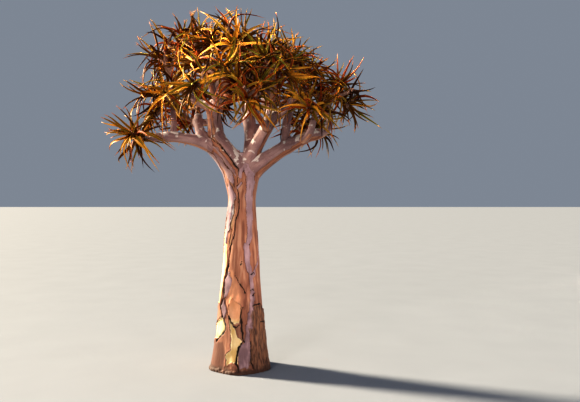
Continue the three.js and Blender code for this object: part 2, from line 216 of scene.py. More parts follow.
def limb(name, control, radius_at, step):
    """A limb's middle line as dots, with its radius and its sideways directions at each."""
    shares = np.linspace(0, 1, max(FEWEST_STEPS, round(length_of(control) / step)) + 1)
    directions = directions_on(control, shares)
    sides = sides_along(directions)
    return {
        "name": name,
        "control": control,
        "dots": points_on(control, shares),
        "radii": radius_at(shares),
        "along": shares * length_of(control),
        "directions": directions,
        "sides": sides,
        "across": np.cross(directions, sides),
    }


def trunk_radius(share):
    height = share * TRUNK_HEIGHT
    plain = TRUNK_FOOT_RADIUS - TRUNK_TAPER * np.minimum(height, TRUNK_NECK_HEIGHT)
    flare = ROOT_FLARE * np.exp(-height / ROOT_FLARE_HEIGHT)
    swell = FORK_SWELL * smooth_step(height, TRUNK_NECK_HEIGHT, TRUNK_NECK_HEIGHT + FORK_SWELL_HEIGHT)
    rounding = smooth_step(height, TRUNK_HEIGHT - SHOULDER_HEIGHT, TRUNK_HEIGHT)
    return mix(plain + flare + swell, TRUNK_TOP_RADIUS, rounding) * MM


def tapered(foot_radius, tip_radius):
    """Make the function that gives a limb's radius at each share of its length."""
    def radius_at(shares):
        return mix(foot_radius, tip_radius, shares)

    return radius_at


def grow_limbs():
    trunk_line = np.array([(0, 0, 0), (0, 0, TRUNK_HEIGHT / 2), (TRUNK_LEAN, 0, TRUNK_HEIGHT)]) * MM
    limbs = {"trunk": limb("trunk", trunk_line, trunk_radius, BOUGH_STEP)}
    for name, start, tip, bow, (foot_radius, tip_radius) in BOUGHS:
        if start[0] in limbs:
            foot = points_on(limbs[start[0]]["control"], start[1])[0]
        else:
            foot = np.array(start) * MM
        tip = np.array(tip) * MM
        bend = (foot + tip) / 2 + 2 * np.array(bow) * MM
        taper = tapered(foot_radius * MM, tip_radius * MM)
        limbs[name] = limb(name, np.array([foot, bend, tip]), taper, BOUGH_STEP)
    return limbs


limbs = grow_limbs()
print(len(limbs), "limbs,", round(sum(one["along"][-1] for one in limbs.values()), 2), "m in all")

# %% [markdown]
# ## Meshes from rows of rings
#
# Limbs and twigs are tubes: rings of corners along a line, joined by quads and closed at both ends.
# Writing the corners ourselves keeps every tube as light as it can be, and lets several join in one
# object, which exports better than hundreds of small ones.

# %% Make a tube
class Sheet:
    """Corners and faces that are gathered up to become one mesh."""

    def __init__(self):
        self.corners = []
        self.faces = []
        self.count = 0

    def add(self, corners, faces):
        self.corners.append(corners)
        self.faces.extend((np.asarray(face) + self.count).tolist() for face in faces)
        self.count += len(corners)

    def mesh(self, name):
        made = bpy.data.meshes.new(name)
        made.from_pydata(np.concatenate(self.corners).tolist(), [], self.faces)
        made.update()
        return made


def add_tube(sheet, one, radii, sides):
    """Add a closed tube round a limb's middle line."""
    angle = np.linspace(0, 2 * math.pi, sides, endpoint=False)
    round_it = (
        one["sides"][:, None, :] * np.cos(angle)[None, :, None]
        + one["across"][:, None, :] * np.sin(angle)[None, :, None]
    )
    corners = one["dots"][:, None, :] + round_it * radii[:, None, None]
    rings = len(one["dots"])
    here = np.arange(rings * sides).reshape(rings, sides)
    after = np.roll(here, -1, axis=1)
    walls = np.stack([here[:-1], after[:-1], after[1:], here[1:]], axis=-1).reshape(-1, 4)
    sheet.add(corners.reshape(-1, 3), [*walls, here[0][::-1], here[-1]])


def put(name, mesh):
    made = bpy.data.objects.new(name, mesh)
    bpy.context.collection.objects.link(made)
    return made


# %% [markdown]
# ## One skin over trunk and boughs
#
# On the real tree the bark runs from the trunk into each bough with no seam, in a soft fold at each
# fork. Tubes pushed through each other would show a hard line there. So the tubes are joined and
# remeshed into even squares, and each corner is then pulled onto a surface that rounds the forks.
#
# That surface comes from distances. How far a corner lies outside each limb is worked out, and the
# answers are blended so that the nearest limb counts most. Where two limbs are equally near, the
# blend bulges a little, just as wood thickens in a fork.

# %% Measure how far points lie from a limb
FILLET = 0.016
VOXEL = 0.006
TINY_SQUARE = 1e-12
LEAST_SLOPE = 0.3


def nearest(one, points):
    """How far each point lies outside a limb, and the nearest place on its middle line."""
    start = one["dots"][:-1]
    step = np.diff(one["dots"], axis=0)
    square = (step**2).sum(1)
    dot = points @ step.T - (start * step).sum(1)
    share = np.clip(dot / square, 0, 1)
    from_start = (points**2).sum(1)[:, None] - 2 * points @ start.T + (start**2).sum(1)
    away = np.sqrt(np.maximum(from_start - 2 * share * dot + share**2 * square, TINY_SQUARE))
    gap = away - (one["radii"][:-1] + share * np.diff(one["radii"]))
    best = away.argmin(1)
    rows = np.arange(len(points))
    return gap[rows, best], best + share[rows, best]


def between(values, place):
    """Read a limb's list of values at places between its dots."""
    low = np.minimum(place.astype(int), len(values) - 2)
    share = place - low
    return mix(values[low], values[low + 1], share if values.ndim == 1 else share[:, None])


def pull_to_skin(points, limbs):
    """Move points onto the blended surface of all the limbs."""
    gaps, outward = [], []
    for one in limbs.values():
        gap, place = nearest(one, points)
        gaps.append(gap)
        outward.append(unit(points - between(one["dots"], place)))
    gaps = np.array(gaps)
    least = gaps.min(0)
    weight = np.exp(-(gaps - least) / FILLET)
    total = weight.sum(0)
    height = least - FILLET * np.log(total)
    slope = (weight[:, :, None] * np.array(outward)).sum(0) / total[:, None]
    return points - slope * (height / np.maximum((slope**2).sum(1), LEAST_SLOPE))[:, None]


# %% [markdown]
# The remesh joins the tubes, and three pulls bring its corners onto the surface. The trunk is made a
# little too long at its foot, and is then cut off level with the ground.

# %% Join, remesh and round the limbs
BELOW_GROUND = 0.04
LIMB_SIDES = 40
SKIN_PULLS = 3


def corners_of(mesh):
    flat = np.empty(len(mesh.vertices) * 3)
    mesh.vertices.foreach_get("co", flat)
    return flat.reshape(-1, 3)


def remeshed_limbs(limbs):
    sheet = Sheet()
    for one in limbs.values():
        longer = dict(one)
        if one["name"] == "trunk":
            longer["dots"] = one["dots"].copy()
            longer["dots"][0, 2] -= BELOW_GROUND
        add_tube(sheet, longer, one["radii"], LIMB_SIDES)
    rough = put("limbs", sheet.mesh("limbs"))
    remesh = rough.modifiers.new("even squares", "REMESH")
    remesh.mode = "VOXEL"
    remesh.voxel_size = VOXEL
    ready = rough.evaluated_get(bpy.context.evaluated_depsgraph_get())
    mesh = bpy.data.meshes.new_from_object(ready)
    bpy.data.objects.remove(rough)
    return mesh


def cut_at_ground(mesh):
    work = bmesh.new()
    work.from_mesh(mesh)
    everything = work.verts[:] + work.edges[:] + work.faces[:]
    cut = bmesh.ops.bisect_plane(
        work, geom=everything, plane_co=(0, 0, 0), plane_no=(0, 0, 1), clear_inner=True)
    edges = [part for part in cut["geom_cut"] if isinstance(part, bmesh.types.BMEdge)]
    bmesh.ops.contextual_create(work, geom=edges)
    work.to_mesh(mesh)
    work.free()


skin = remeshed_limbs(limbs)
grounded = limbs["trunk"]["dots"].copy()
limbs["trunk"]["dots"][0, 2] = -BELOW_GROUND
for _ in range(SKIN_PULLS):
    skin.vertices.foreach_set("co", pull_to_skin(corners_of(skin), limbs).ravel())
limbs["trunk"]["dots"][:] = grounded
cut_at_ground(skin)
print("the skin has", len(skin.vertices), "corners")

# %% [markdown]
# ## Noise
#
# Bark is never even. A noise field gives each place in space its own number from -1 to 1 that
# changes gently from place to place. Stretching the space along a limb gives long strips.

# %% Make noise
# large odd numbers that scramble a cell's place and the seed
CELL_FACTORS = (374761393, 668265263, 2147483647)
SEED_FACTOR = 974634777
MIX_FACTOR = 1274126177
LOW_BITS = 0xFFFF
NOISE_GAIN = 1.5


def corner_noise(cell, seed):
    """A number from -1 to 1 for each cell, always the same for the same cell and seed."""
    mixed = sum(cell[..., axis] * factor for axis, factor in enumerate(CELL_FACTORS))
    mixed = mixed + seed * SEED_FACTOR
    mixed = (mixed ^ (mixed >> 13)) * MIX_FACTOR
    mixed = (mixed ^ (mixed >> 16)) & LOW_BITS
    return mixed / (LOW_BITS / 2) - 1


def noise(points, seed):
    cell = np.floor(points).astype(np.int64)
    share = points - cell
    share = share * share * (3 - 2 * share)
    value = 0
    for corner in np.ndindex(2, 2, 2):
        weight = np.prod(np.where(np.array(corner) == 1, share, 1 - share), axis=-1)
        value = value + weight * corner_noise(cell + np.array(corner), seed)
    return value


def layered_noise(points, seed, layers=3):
    total = sum(0.5**k * noise(points * 2**k, seed + k) for k in range(layers))
    return total / (2 - 0.5 ** (layers - 1)) * NOISE_GAIN


# how often each noise repeats in a metre, across a limb twice and along it, how far it is shifted, its
# seed and its layers
BARK_FORMS = {
    "strips": ((16, 16, 1.7), 0, 11, 4),
    "ragged": ((34, 34, 20), 0, 31, 4),
    "torn": ((26, 26, 18), 4, 37, 4),
    "flakes": ((7, 7, 3.2), 5, 41, 4),
    "old_bark": ((5, 5, 2.5), 9, 51, 3),
    "ridges": ((45, 45, 6), 0, 61, 3),
    "swells": ((6, 6, 3), 0, 71, 2),
    "powder_and_sun": ((25, 25, 25), 0, 81, 4),
    "stains": ((14, 14, 14), 0, 91, 3),
}


def bark_form(name, places, further=0):
    """One of the noises above. A further shift gives each limb its own."""
    stretch, shift, seed, layers = BARK_FORMS[name]
    return layered_noise(places * stretch + (shift + further), seed, layers)


print("noise at three places:", noise(np.array([[0.5, 0, 0], [0.6, 0, 0], [9.1, 2, 3]]), 1).round(2))

# %% [markdown]
# ## Where the bark has split
#
# A kokerboom sheds its bark from the ground up. Boughs and the upper trunk keep a smooth lilac skin.
# It splits lengthwise into strips with tan underneath. Lower down the tan layer flakes off too, in
# plates with edges like torn paper, and bares a golden one. The foot is old, ridged and grey.
#
# The strips and plates that stand out on this trunk are listed by their place: the angle round the
# trunk in degrees, 0 at the front and growing to the right, and the height in millimetres. Noise
# gives every other side its own.

# %% The marks on the trunk's front
# Lilac strips: angle, height and half its width, in degrees and millimetres
STRIPS = {
    "trunk": [
        [(32, 1850, 50), (33, 1775, 48), (35, 1645, 42), (36, 1520, 34), (36, 1395, 30), (33, 1200, 25),
         (29, 1130, 20), (26, 1090, 8)],
        [(22, 1100, 24), (25, 1025, 27), (26, 970, 26), (34, 880, 23), (37, 765, 20), (37, 635, 21),
         (32, 540, 22), (27, 445, 22), (21, 350, 21), (18, 275, 17)],
        [(92, 1240, 12), (74, 1070, 9), (66, 985, 7), (59, 935, 7), (49, 880, 8), (40, 850, 8)],
        [(-6, 1930, 30), (-5, 1800, 22), (-5, 1730, 15)],
        [(-2, 1672, 17), (-12, 1630, 15)],
        [(-48, 1800, 60), (-46, 1640, 48), (-45, 1520, 40), (-50, 1380, 36), (-56, 1250, 26),
         (-60, 1130, 14)],
    ],
    "left_bough": [
        [(55, -80, 60), (58, 150, 84), (60, 420, 84)],
        [(-12, 360, 9), (-15, 230, 13), (-12, 120, 13), (-4, 40, 8)],
        [(-34, 330, 10), (-40, 210, 26), (-35, 120, 26), (-22, 20, 12)],
        [(-86, -60, 26), (-84, 200, 36), (-70, 330, 50), (-60, 420, 60)],
    ],
    "left_upright_bough": [
        [(54, -60, 46), (48, 150, 46), (46, 400, 42)],
        [(-26, 330, 3), (-20, 200, 6), (-26, 60, 4)],
        [(-95, -60, 24), (-92, 400, 26)],
    ],
}
# Plates of the grey old skin low down, as outlines of angle and height
GREY_PLATES = [
    [(-47, 840), (-34, 890), (-22, 810), (-27, 725), (-35, 660), (-46, 640), (-35, 530), (-38, 475),
     (-45, 475), (-51, 515), (-60, 570), (-50, 645), (-50, 745)],
    [(5, 260), (19, 285), (26, 240), (26, 120), (22, 40), (2, 50), (0, 195)],
]
# Places where the tan layer has flaked off and golden bark shows
GOLD_PLATES = [
    [(-31, 600), (-14, 650), (3, 605), (5, 485), (1, 440), (-9, 420), (-19, 455), (-29, 495)],
    [(-24, 475), (-14, 405), (-6, 355), (9, 285), (3, 245), (0, 195), (-1, 90), (-30, 70), (-28, 170),
     (-14, 210), (-17, 275), (-22, 360)],
    [(-56, 485), (-45, 475), (-38, 400), (-38, 350), (-54, 300), (-88, 225), (-95, 330), (-72, 420)],
    [(-34, 1490), (-22, 1430), (-28, 1260), (-36, 1130), (-41, 1080), (-38, 1290)],
    [(-62, 1420), (-50, 1400), (-48, 1250), (-51, 1090), (-47, 930), (-56, 800), (-60, 640), (-76, 560),
     (-110, 600), (-110, 800), (-100, 1000), (-85, 1200)],
]
ROUGH_FOOT = [(31, 555), (58, 590), (80, 560), (110, 420), (115, 0), (20, 0), (26, 250), (22, 335)]
# Cracks, in the same form as strips
CRACKS = {
    "trunk": [
        [(-16, 1645, 4), (-11, 1580, 5), (-13, 1395, 6), (-20, 1295, 5), (-26, 1200, 6), (-31, 1130, 8),
         (-36, 1075, 9), (-39, 940, 13), (-47, 840, 10), (-50, 745, 14), (-46, 700, 18), (-50, 645, 14),
         (-60, 570, 20), (-51, 515, 16), (-43, 470, 15), (-36, 405, 16), (-36, 365, 18), (-54, 300, 22),
         (-64, 255, 12)],
        [(8, 570, 5), (6, 500, 11), (8, 425, 12), (7, 320, 10), (15, 275, 6)],
        [(-21, 1890, 4), (-13, 1805, 7), (-10, 1715, 6), (-16, 1645, 4)],
        [(38, 575, 5), (52, 600, 10), (66, 590, 14), (77, 545, 16), (86, 440, 20), (88, 335, 12)],
        [(56, 420, 4), (68, 432, 12), (82, 425, 14)],
        [(-30, 500, 4), (-16, 425, 9), (-8, 395, 13), (2, 415, 7)],
        [(10, 290, 5), (1, 240, 11), (-2, 170, 9), (-4, 90, 12), (1, 30, 8)],
        [(28, 270, 6), (30, 200, 11), (27, 120, 8), (30, 40, 12)],
        [(-16, 852, 3), (0, 790, 4), (10, 740, 4), (17, 708, 8)],
        [(30, 874, 3), (38, 868, 9), (47, 874, 4)],
        [(31, 720, 3), (40, 724, 9), (47, 717, 4)],
        [(35, 690, 3), (42, 684, 8), (47, 687, 3)],
    ],
    "left_bough": [[(8, 400, 4), (11, 300, 7), (12, 180, 8), (14, 80, 7), (18, 0, 4)]],
    "left_upright_bough": [[(0, 60, 5), (6, -20, 8)]],
}
# Painted light on the trunk: a strip of lilac skin painted pale as sunlight, a patch of tan bark painted
# bright as sunlight, and a patch low on the left painted dark as shadow
PAINTED_SUNLIT_STRIP = [(-26, 1520, 12), (-30, 1400, 18), (-36, 1300, 18), (-42, 1200, 16), (-50, 1110, 10)]
PAINTED_SUNLIT_TAN = [(-40, 850), (-24, 890), (-8, 800), (4, 700), (6, 600), (2, 470), (-10, 440), (-30, 500),
             (-36, 640), (-32, 740)]
PAINTED_SHADOW_ON_TAN = [(-100, 345), (-64, 250), (-42, 265), (-30, 160), (-36, 20), (-110, 20)]
# A small hole is a very short crack
HOLES = [(18, 705), (-53, 1105), (35, 1118), (5, 980), (5, 945), (16, 1640), (-20, 440)]
HOLE_RADIUS = 9
HOLE_LENGTH = 4
for angle, height in HOLES:
    CRACKS["trunk"].append([(angle, height, HOLE_RADIUS), (angle, height + HOLE_LENGTH, HOLE_RADIUS)])
print(sum(len(lines) for lines in CRACKS.values()), "cracks and holes")

# %% [markdown]
# Each place on the bark is measured against the marks. The answer is 0 on a mark's edge and positive
# inside it, so one number can move the mesh and also tell the material where the edge runs.

# %% Measure places against the marks
FAR_OUTSIDE = -9.0
FAR_AWAY = 1e3


def to_segment(here, start, end, radius):
    """How far places on the bark lie from a straight mark, in millimetres, and the share along it."""
    degrees = math.radians(1) * radius
    along = np.stack([degrees * (end[0] - start[0]), np.full_like(radius, end[1] - start[1])], -1)
    step = np.stack([degrees * (here[:, 0] - start[0]), here[:, 1] - start[1]], -1)
    share = np.clip((step * along).sum(1) / np.maximum((along**2).sum(1), 1e-9), 0, 1)
    return np.linalg.norm(step - along * share[:, None], axis=1), share


def strip_height(here, radius, strip):
    """Positive inside a strip, 1 on its middle line."""
    best = np.full(len(here), FAR_OUTSIDE)
    for start, end in zip(strip, strip[1:]):
        away, share = to_segment(here, start, end, radius)
        best = np.maximum(best, 1 - away / mix(start[2], end[2], share))
    return best


def plate_height(here, radius, outline):
    """How far inside an outline, in millimetres: negative outside."""
    away = np.full(len(here), FAR_AWAY)
    inside = np.zeros(len(here), bool)
    for start, end in zip(outline, outline[1:] + outline[:1]):
        away = np.minimum(away, to_segment(here, start, end, radius)[0])
        crosses = (start[1] > here[:, 1]) != (end[1] > here[:, 1])
        turn = (end[0] - start[0]) * (here[:, 1] - start[1]) / ((end[1] - start[1]) or 1) + start[0]
        inside ^= crosses & (here[:, 0] < turn)
    return np.where(inside, away, -away)


def highest(least, fields):
    """The highest of the fields at each place, and nowhere under least."""
    for field in fields:
        least = np.maximum(least, field)
    return least


# %% [markdown]
# ## Bark fields
#
# For each corner of the skin, the two nearest limbs are found and the corner's place is worked out
# as if they were straight: two numbers across and one along. The bark's layers follow from that
# place, and are blended where the limbs meet, so strips run along every limb and round every fork.
#
# The first fields say which layer of bark shows. Three more tell the material where powder and painted
# sunlight lie, where the tan bark has a painted patch of sunlight or painted shadow, and how stained the
# foot is. All of them are stored on the mesh, because the material can draw an edge sharper than the
# mesh could.

# %% Place every corner on its limb
SKIN_ABOVE = 0.95
SKIN_BELOW = -0.3
EDGE_SHAKE = 13
SHIFT_PER_LIMB = 3.7
# where the table of marks gives way to noise, as minus the degrees round from the front
FRONT_ENDS = (-118, -88)
# heights in millimetres between which one kind of bark gives way to another
LILAC_FORK = (1790, 1900)
MORE_LILAC = (1500, 1900)
LESS_GOLD = (450, 1250)
ROUGH_UP_TO = 420
MARK_LIMIT = 0.8
STRIP_STRENGTH = 0.6
# how many millimetres it takes a plate's edge to rise from 0 to 1
GREY_EDGE = 30
GOLD_EDGE = 26
ROUGH_EDGE = 40


def limb_places(points, limbs):
    """The two nearest limbs of each point, how much each counts, and the point's place on it."""
    gaps, places = zip(*(nearest(one, points) for one in limbs.values()))
    gaps = np.array(gaps)
    order = np.argsort(gaps, axis=0)[:2]
    rows = np.arange(len(points))
    near = gaps[order, rows]
    weight = np.exp(-(near - near[0]) / FILLET)
    weight /= weight.sum(0)
    straight = np.zeros((2, len(points), 3))
    above = np.zeros((2, len(points)))
    for rank in range(2):
        for number, one in enumerate(limbs.values()):
            mine = order[rank] == number
            if not mine.any():
                continue
            place = places[number][mine]
            away = points[mine] - between(one["dots"], place)
            straight[rank, mine, 0] = (away * between(one["sides"], place)).sum(1)
            straight[rank, mine, 1] = (away * between(one["across"], place)).sum(1)
            straight[rank, mine, 2] = between(one["along"], place)
            above[rank, mine] = unit(away)[:, 2]
    return order, weight, straight, above


def bark_on(straight, above, number, names):
    """The fields of one limb's bark: skin, gold, rough, crack and cream."""
    strips = bark_form("strips", straight, number[:, None] * SHIFT_PER_LIMB)
    skin = strips + mix(SKIN_BELOW, SKIN_ABOVE, smooth_step(above, -0.85, 0.0))
    fields = np.array([skin, np.full(len(skin), -1.0), np.full(len(skin), -1.0), skin * 0, skin * 0])
    for name in STRIPS:
        mine = number == names.index(name)
        if mine.any():
            fields[:, mine] = marked_bark(name, straight[mine], strips[mine])
    return fields


def round_place(straight):
    """Places on a limb as angle in degrees and height in millimetres, and the radius there."""
    angle = np.degrees(np.arctan2(straight[:, 1], straight[:, 0]))
    radius = np.linalg.norm(straight[:, :2], axis=1) / MM
    return np.stack([angle, straight[:, 2] / MM], -1), radius


def marked_bark(name, straight, strips):
    """The fields of a limb whose front follows the table of marks."""
    place, radius = round_place(straight)
    angle, height = place.T
    ragged = bark_form("ragged", straight)
    torn = bark_form("torn", straight)
    here = np.stack([angle + np.degrees(EDGE_SHAKE * ragged / radius), height + 2 * EDGE_SHAKE * torn], -1)
    front = smooth_step(-abs(angle), *FRONT_ENDS)
    strip_fields = (STRIP_STRENGTH * strip_height(here, radius, strip) for strip in STRIPS[name])
    skin_here = highest(np.full(len(here), -MARK_LIMIT), strip_fields)
    crack = highest(np.zeros(len(here)), (strip_height(here, radius, line) for line in CRACKS[name]))
    if name != "trunk":
        nothing = np.full(len(here), -1.0)
        ribbons = 0.55 * np.cos(np.radians(9 * angle) + 3 * strips) + 0.3 * strips + 0.1
        skin = mix(ribbons, np.clip(skin_here, -MARK_LIMIT, MARK_LIMIT), front)
        return skin, nothing, nothing, crack, 0 * crack
    plates = (plate_height(here, radius, plate) / GREY_EDGE for plate in GREY_PLATES)
    skin_here = mix(highest(skin_here, plates), 0.55 + 0.5 * strips, smooth_step(height, *LILAC_FORK))
    skin_elsewhere = strips - 0.12 + 0.3 * smooth_step(height, *MORE_LILAC)
    skin = mix(skin_elsewhere, np.clip(skin_here, -MARK_LIMIT, MARK_LIMIT), front)
    gold, rough, cream = flaked_bark(straight, place, here, radius, front, ragged, torn)
    return skin, gold, rough, crack, cream


def flaked_bark(straight, place, here, radius, front, ragged, torn):
    """The trunk's fields under its skin: gold, rough and cream."""
    angle, height = place.T
    plates = (plate_height(here, radius, plate) / GOLD_EDGE for plate in GOLD_PLATES)
    gold_here = highest(np.full(len(here), -MARK_LIMIT), plates)
    flakes = bark_form("flakes", straight)
    gold_elsewhere = flakes + 0.1 - 0.9 * smooth_step(height, *LESS_GOLD)
    gold = mix(gold_elsewhere, np.clip(gold_here + 0.15 * ragged, -MARK_LIMIT, MARK_LIMIT), front)
    rough_elsewhere = bark_form("old_bark", straight) + 0.55 - height / ROUGH_UP_TO
    rough_place = here + np.stack([0 * torn, 90 * torn], -1)
    rough_here = plate_height(rough_place, radius, ROUGH_FOOT) / ROUGH_EDGE
    rough = mix(rough_elsewhere, np.maximum(rough_here, 0.3 - height / 90), front) + 0.2 * ragged
    cream_here = np.maximum(smooth_step(-angle, 30, 48), smooth_step(-height, -500, -430))
    cream = mix(smooth_step(flakes, 0.1, 0.5), cream_here, front)
    return gold, np.clip(rough, -1, 1), cream


order, weight, straight, above = limb_places(corners_of(skin), limbs)
layers = 0
for rank in range(2):
    layers = layers + weight[rank] * bark_on(straight[rank], above[rank], order[rank], list(limbs))
bark = dict(zip(("skin", "gold", "rough", "crack", "cream"), layers))
bark["crack"] = np.clip(bark["crack"], 0, 1)

# %% [markdown]
# Powder lies on top of the boughs, and its pale patches there are also painted sunlight. One strip of
# the trunk's skin is painted pale as sunlight, and on the tan bark one patch is painted bright as
# sunlight and one dark as shadow. The bark is stained below about a metre, and most of all in its
# lowest few centimetres.

# %% Powder, painted sunlight and shadow, and stains
POWDER_AND_SUN_ABOVE = 0.25
STAIN_TOP = 0.03

on_trunk = order[0] == 0
place_on_trunk, radius_on_trunk = round_place(straight[0])
# pale patches on the tops of the boughs: powder, and painted sunlight where they face up
powder_and_sun = bark_form("powder_and_sun", corners_of(skin)) + 0.8 * (above[0] - POWDER_AND_SUN_ABOVE) - 0.2
# a strip of the trunk's skin painted pale as sunlight
sunlit_strip = smooth_step(strip_height(place_on_trunk, radius_on_trunk, PAINTED_SUNLIT_STRIP), -0.3, 0.3)
bark["powder_and_sun_patches"] = np.where(on_trunk, sunlit_strip, smooth_step(powder_and_sun, 0.12, 0.35))
bark["grain"] = straight[0]
above_ground = corners_of(skin)[:, 2]
stain = STAIN_TOP * bark_form("stains", corners_of(skin)) - above_ground
bark["foot"] = 0.85 * smooth_step(-above_ground, -1.15, -0.55) + 0.15 * smooth_step(stain, -0.07, -0.015)
# a patch of tan bark painted bright as sunlight, and one low on the left painted dark as the shadow of a
# plate
painted_sun = smooth_step(plate_height(place_on_trunk, radius_on_trunk, PAINTED_SUNLIT_TAN), -35, 35)
dark = smooth_step(plate_height(place_on_trunk, radius_on_trunk, PAINTED_SHADOW_ON_TAN), -18, 18)
bark["painted_sun_and_shade"] = np.where(on_trunk, painted_sun - dark, 0)
print("lilac skin on", round(100 * (bark["skin"] > 0).mean()), "% of the bark")

# %% [markdown]
# ## Relief
#
# Skin stands 6 mm proud of the tan layer, and flaked places lie 8 mm lower. Old bark at the foot is
# split into ridges. Slow swells under it all keep the trunk from looking turned on a lathe.

# %% Move the bark in and out
SKIN_RISE = 0.006
FLAKE_DEPTH = 0.008
CRACK_DEPTH = 0.012
RIDGE_HEIGHT = 0.012
FOOT_RISE = 0.01
RIM_RISE = 0.005
SWELL = 0.006
FULL_SWELL_RADIUS = 0.12
EDGE = 0.09


def normals_of(mesh):
    flat = np.empty(len(mesh.vertices) * 3)
    mesh.vertices.foreach_get("normal", flat)
    return flat.reshape(-1, 3)


def relief_at(straight, radius):
    skin_here, gold, rough = bark["skin"], bark["gold"], bark["rough"]
    step_up = SKIN_RISE * smooth_step(skin_here, -EDGE, EDGE)
    step_down = FLAKE_DEPTH * smooth_step(gold, -EDGE, EDGE) * (skin_here < EDGE)
    ridges = 1 - abs(bark_form("ridges", straight))
    ridged = RIDGE_HEIGHT * (ridges - 0.8) * smooth_step(rough, -0.2, 0.35)
    ridged += FOOT_RISE * smooth_step(rough, -0.05, 0.1)
    rims = RIM_RISE * (smooth_step(gold, -0.7, -EDGE) * smooth_step(-gold, -EDGE, EDGE))
    small = np.clip(radius / FULL_SWELL_RADIUS, 0.15, 1)
    swells = SWELL * small * bark_form("swells", straight)
    cracks = CRACK_DEPTH * smooth_step(bark["crack"], 0, 0.7)
    return step_up - step_down + ridged + rims + swells - cracks


def lobes_at(straight):
    """The trunk's foot spreads in five low buttresses."""
    share = np.clip(straight[:, 2] / (TRUNK_HEIGHT * MM), 0, 1)
    angle = np.arctan2(-straight[:, 1], straight[:, 0])
    return TRUNK_FOOT_RADIUS * MM * ROOT_LOBE_DEPTH * (1 - share) ** 2 * np.cos(ROOT_LOBES * angle)


corners = corners_of(skin)
radius = np.linalg.norm(straight[0][:, :2], axis=1)
relief = relief_at(straight[0], radius)
relief += np.where(on_trunk, lobes_at(straight[0]), 0)
outward = normals_of(skin)
outward[corners[:, 2] < VOXEL / 2, 2] = 0
corners = corners + outward * relief[:, None]
corners[:, 2] = np.maximum(corners[:, 2], 0)
skin.vertices.foreach_set("co", corners.ravel())
skin.update()
print("relief from", round(relief.min() / MM, 1), "to", round(relief.max() / MM, 1), "mm")

# %% [markdown]
# ## Trunk and boughs as two pieces
#
# The skin is cut in two between its squares, where the trunk ends and the boughs begin. Both keep the
# smooth shading of the whole, so the cut can't be seen.

# %% Split the skin
def store(mesh, name, values):
    kind = "FLOAT" if values.ndim == 1 else "FLOAT_VECTOR"
    field = "value" if values.ndim == 1 else "vector"
    mesh.attributes.new(name, kind, "POINT").data.foreach_set(field, values.astype(np.float32).ravel())


def part_of_skin(name, keep, share_needed):
    """The faces of the skin with more than a share of corners in keep, with the whole skin's shading."""
    shading = normals_of(skin)
    work = bmesh.new()
    work.from_mesh(skin)
    work.verts.ensure_lookup_table()
    origin = work.verts.layers.int.new("origin")
    for corner in work.verts:
        corner[origin] = corner.index
    others = []
    for face in work.faces:
        kept = sum(keep[corner.index] for corner in face.verts)
        if not kept > share_needed * len(face.verts):
            others.append(face)
    bmesh.ops.delete(work, geom=others, context="FACES")
    made = bpy.data.meshes.new(name)
    work.to_mesh(made)
    work.free()
    source = np.empty(len(made.vertices), np.int32)
    made.attributes["origin"].data.foreach_get("value", source)
    made.attributes.remove(made.attributes["origin"])
    made.polygons.foreach_set("use_smooth", [True] * len(made.polygons))
    made.normals_split_custom_set_from_vertices(shading[source].tolist())
    for field, values in bark.items():
        store(made, field, values[source])
    return put(name, made)


trunk_bark_piece = part_of_skin("trunk_bark", on_trunk, 0.5)
bough_bark_piece = part_of_skin("bough_bark", ~on_trunk, 0.49)
bpy.data.meshes.remove(skin)
for piece in (trunk_bark_piece, bough_bark_piece):
    print(piece.name, len(piece.data.polygons), "squares")

# %% [markdown]
# ## Twigs by the source's rule
#
# Each mass of foliage stands on one bough. Its stem goes on from the bough's tip to one rosette, and
# a twig leaves it for each of the others. A simple sum makes the random numbers, so the same seed
# gives the same tree on every run and in every program.

# %% The masses and their rosettes
CROWN_HEART = np.array([20, 60, 2050]) * MM
TWIG_TIP_RADIUS = 22 * MM
FIRST_FORK = 0.4
FORK_STEP = 0.13
FORK_FOOT = 0.72
RING_SHAKE = 0.3
NEAREST_REACH = 0.9
REACH_RANGE = 0.25
FRONT_REACH = 0.6
OUTWARD_PULL = 0.62
UPWARD_PULL = 0.45
SIDEWAYS_PULL = 0.35

# name, bough, middle, spread, rosettes, turn in degrees
MASSES = [
    ("low_left_mass", "left_level_bough", (-925, -70, 2110), 120, 2, 8),
    ("mid_left_mass", "left_riser", (-700, -110, 2420), 165, 4, 20),
    ("back_left_mass", "left_back_riser", (-570, 470, 2430), 170, 3, 0),
    ("back_cross_mass", "left_cross_bough", (-250, 640, 2650), 165, 3, 40),
    ("upper_left_mass", "upper_left_bough", (-660, 40, 2880), 165, 3, 75),
    ("top_left_mass", "top_left_bough", (-400, 40, 2985), 160, 3, 5),
    ("front_left_mass", "front_left_bough", (-270, -560, 2580), 170, 3, 20),
    ("front_top_mass", "front_top_bough", (-70, -340, 2890), 165, 3, 60),
    ("top_right_mass", "centre_top_bough", (150, 50, 2940), 165, 3, 0),
    ("upper_right_mass", "centre_right_bough", (500, -10, 2790), 155, 3, 50),
    ("front_right_top_mass", "front_right_top_bough", (370, -460, 2670), 150, 3, 30),
    ("front_centre_mass", "front_centre_bough", (110, -620, 2430), 130, 3, 30),
    ("right_mass", "right_tip_bough", (950, 60, 2490), 145, 3, 10),
    ("front_right_mass", "front_right_bough", (660, -430, 2320), 105, 2, 10),
    ("mid_right_mass", "right_riser", (640, 330, 2690), 160, 3, 50),
    ("low_back_right_mass", "back_right_low_bough", (660, 480, 2250), 120, 2, 0),
    ("back_top_mass", "back_top_bough", (80, 400, 2900), 160, 3, 20),
    ("back_mass", "back_out_bough", (-10, 830, 2640), 150, 3, 0),
    ("back_right_mass", "back_right_bough", (400, 730, 2600), 155, 3, 60),
]


def random_from(seed):
    state = seed
    while True:
        state = (state * 1664525 + 1013904223) % 2**32
        yield state / 2**32


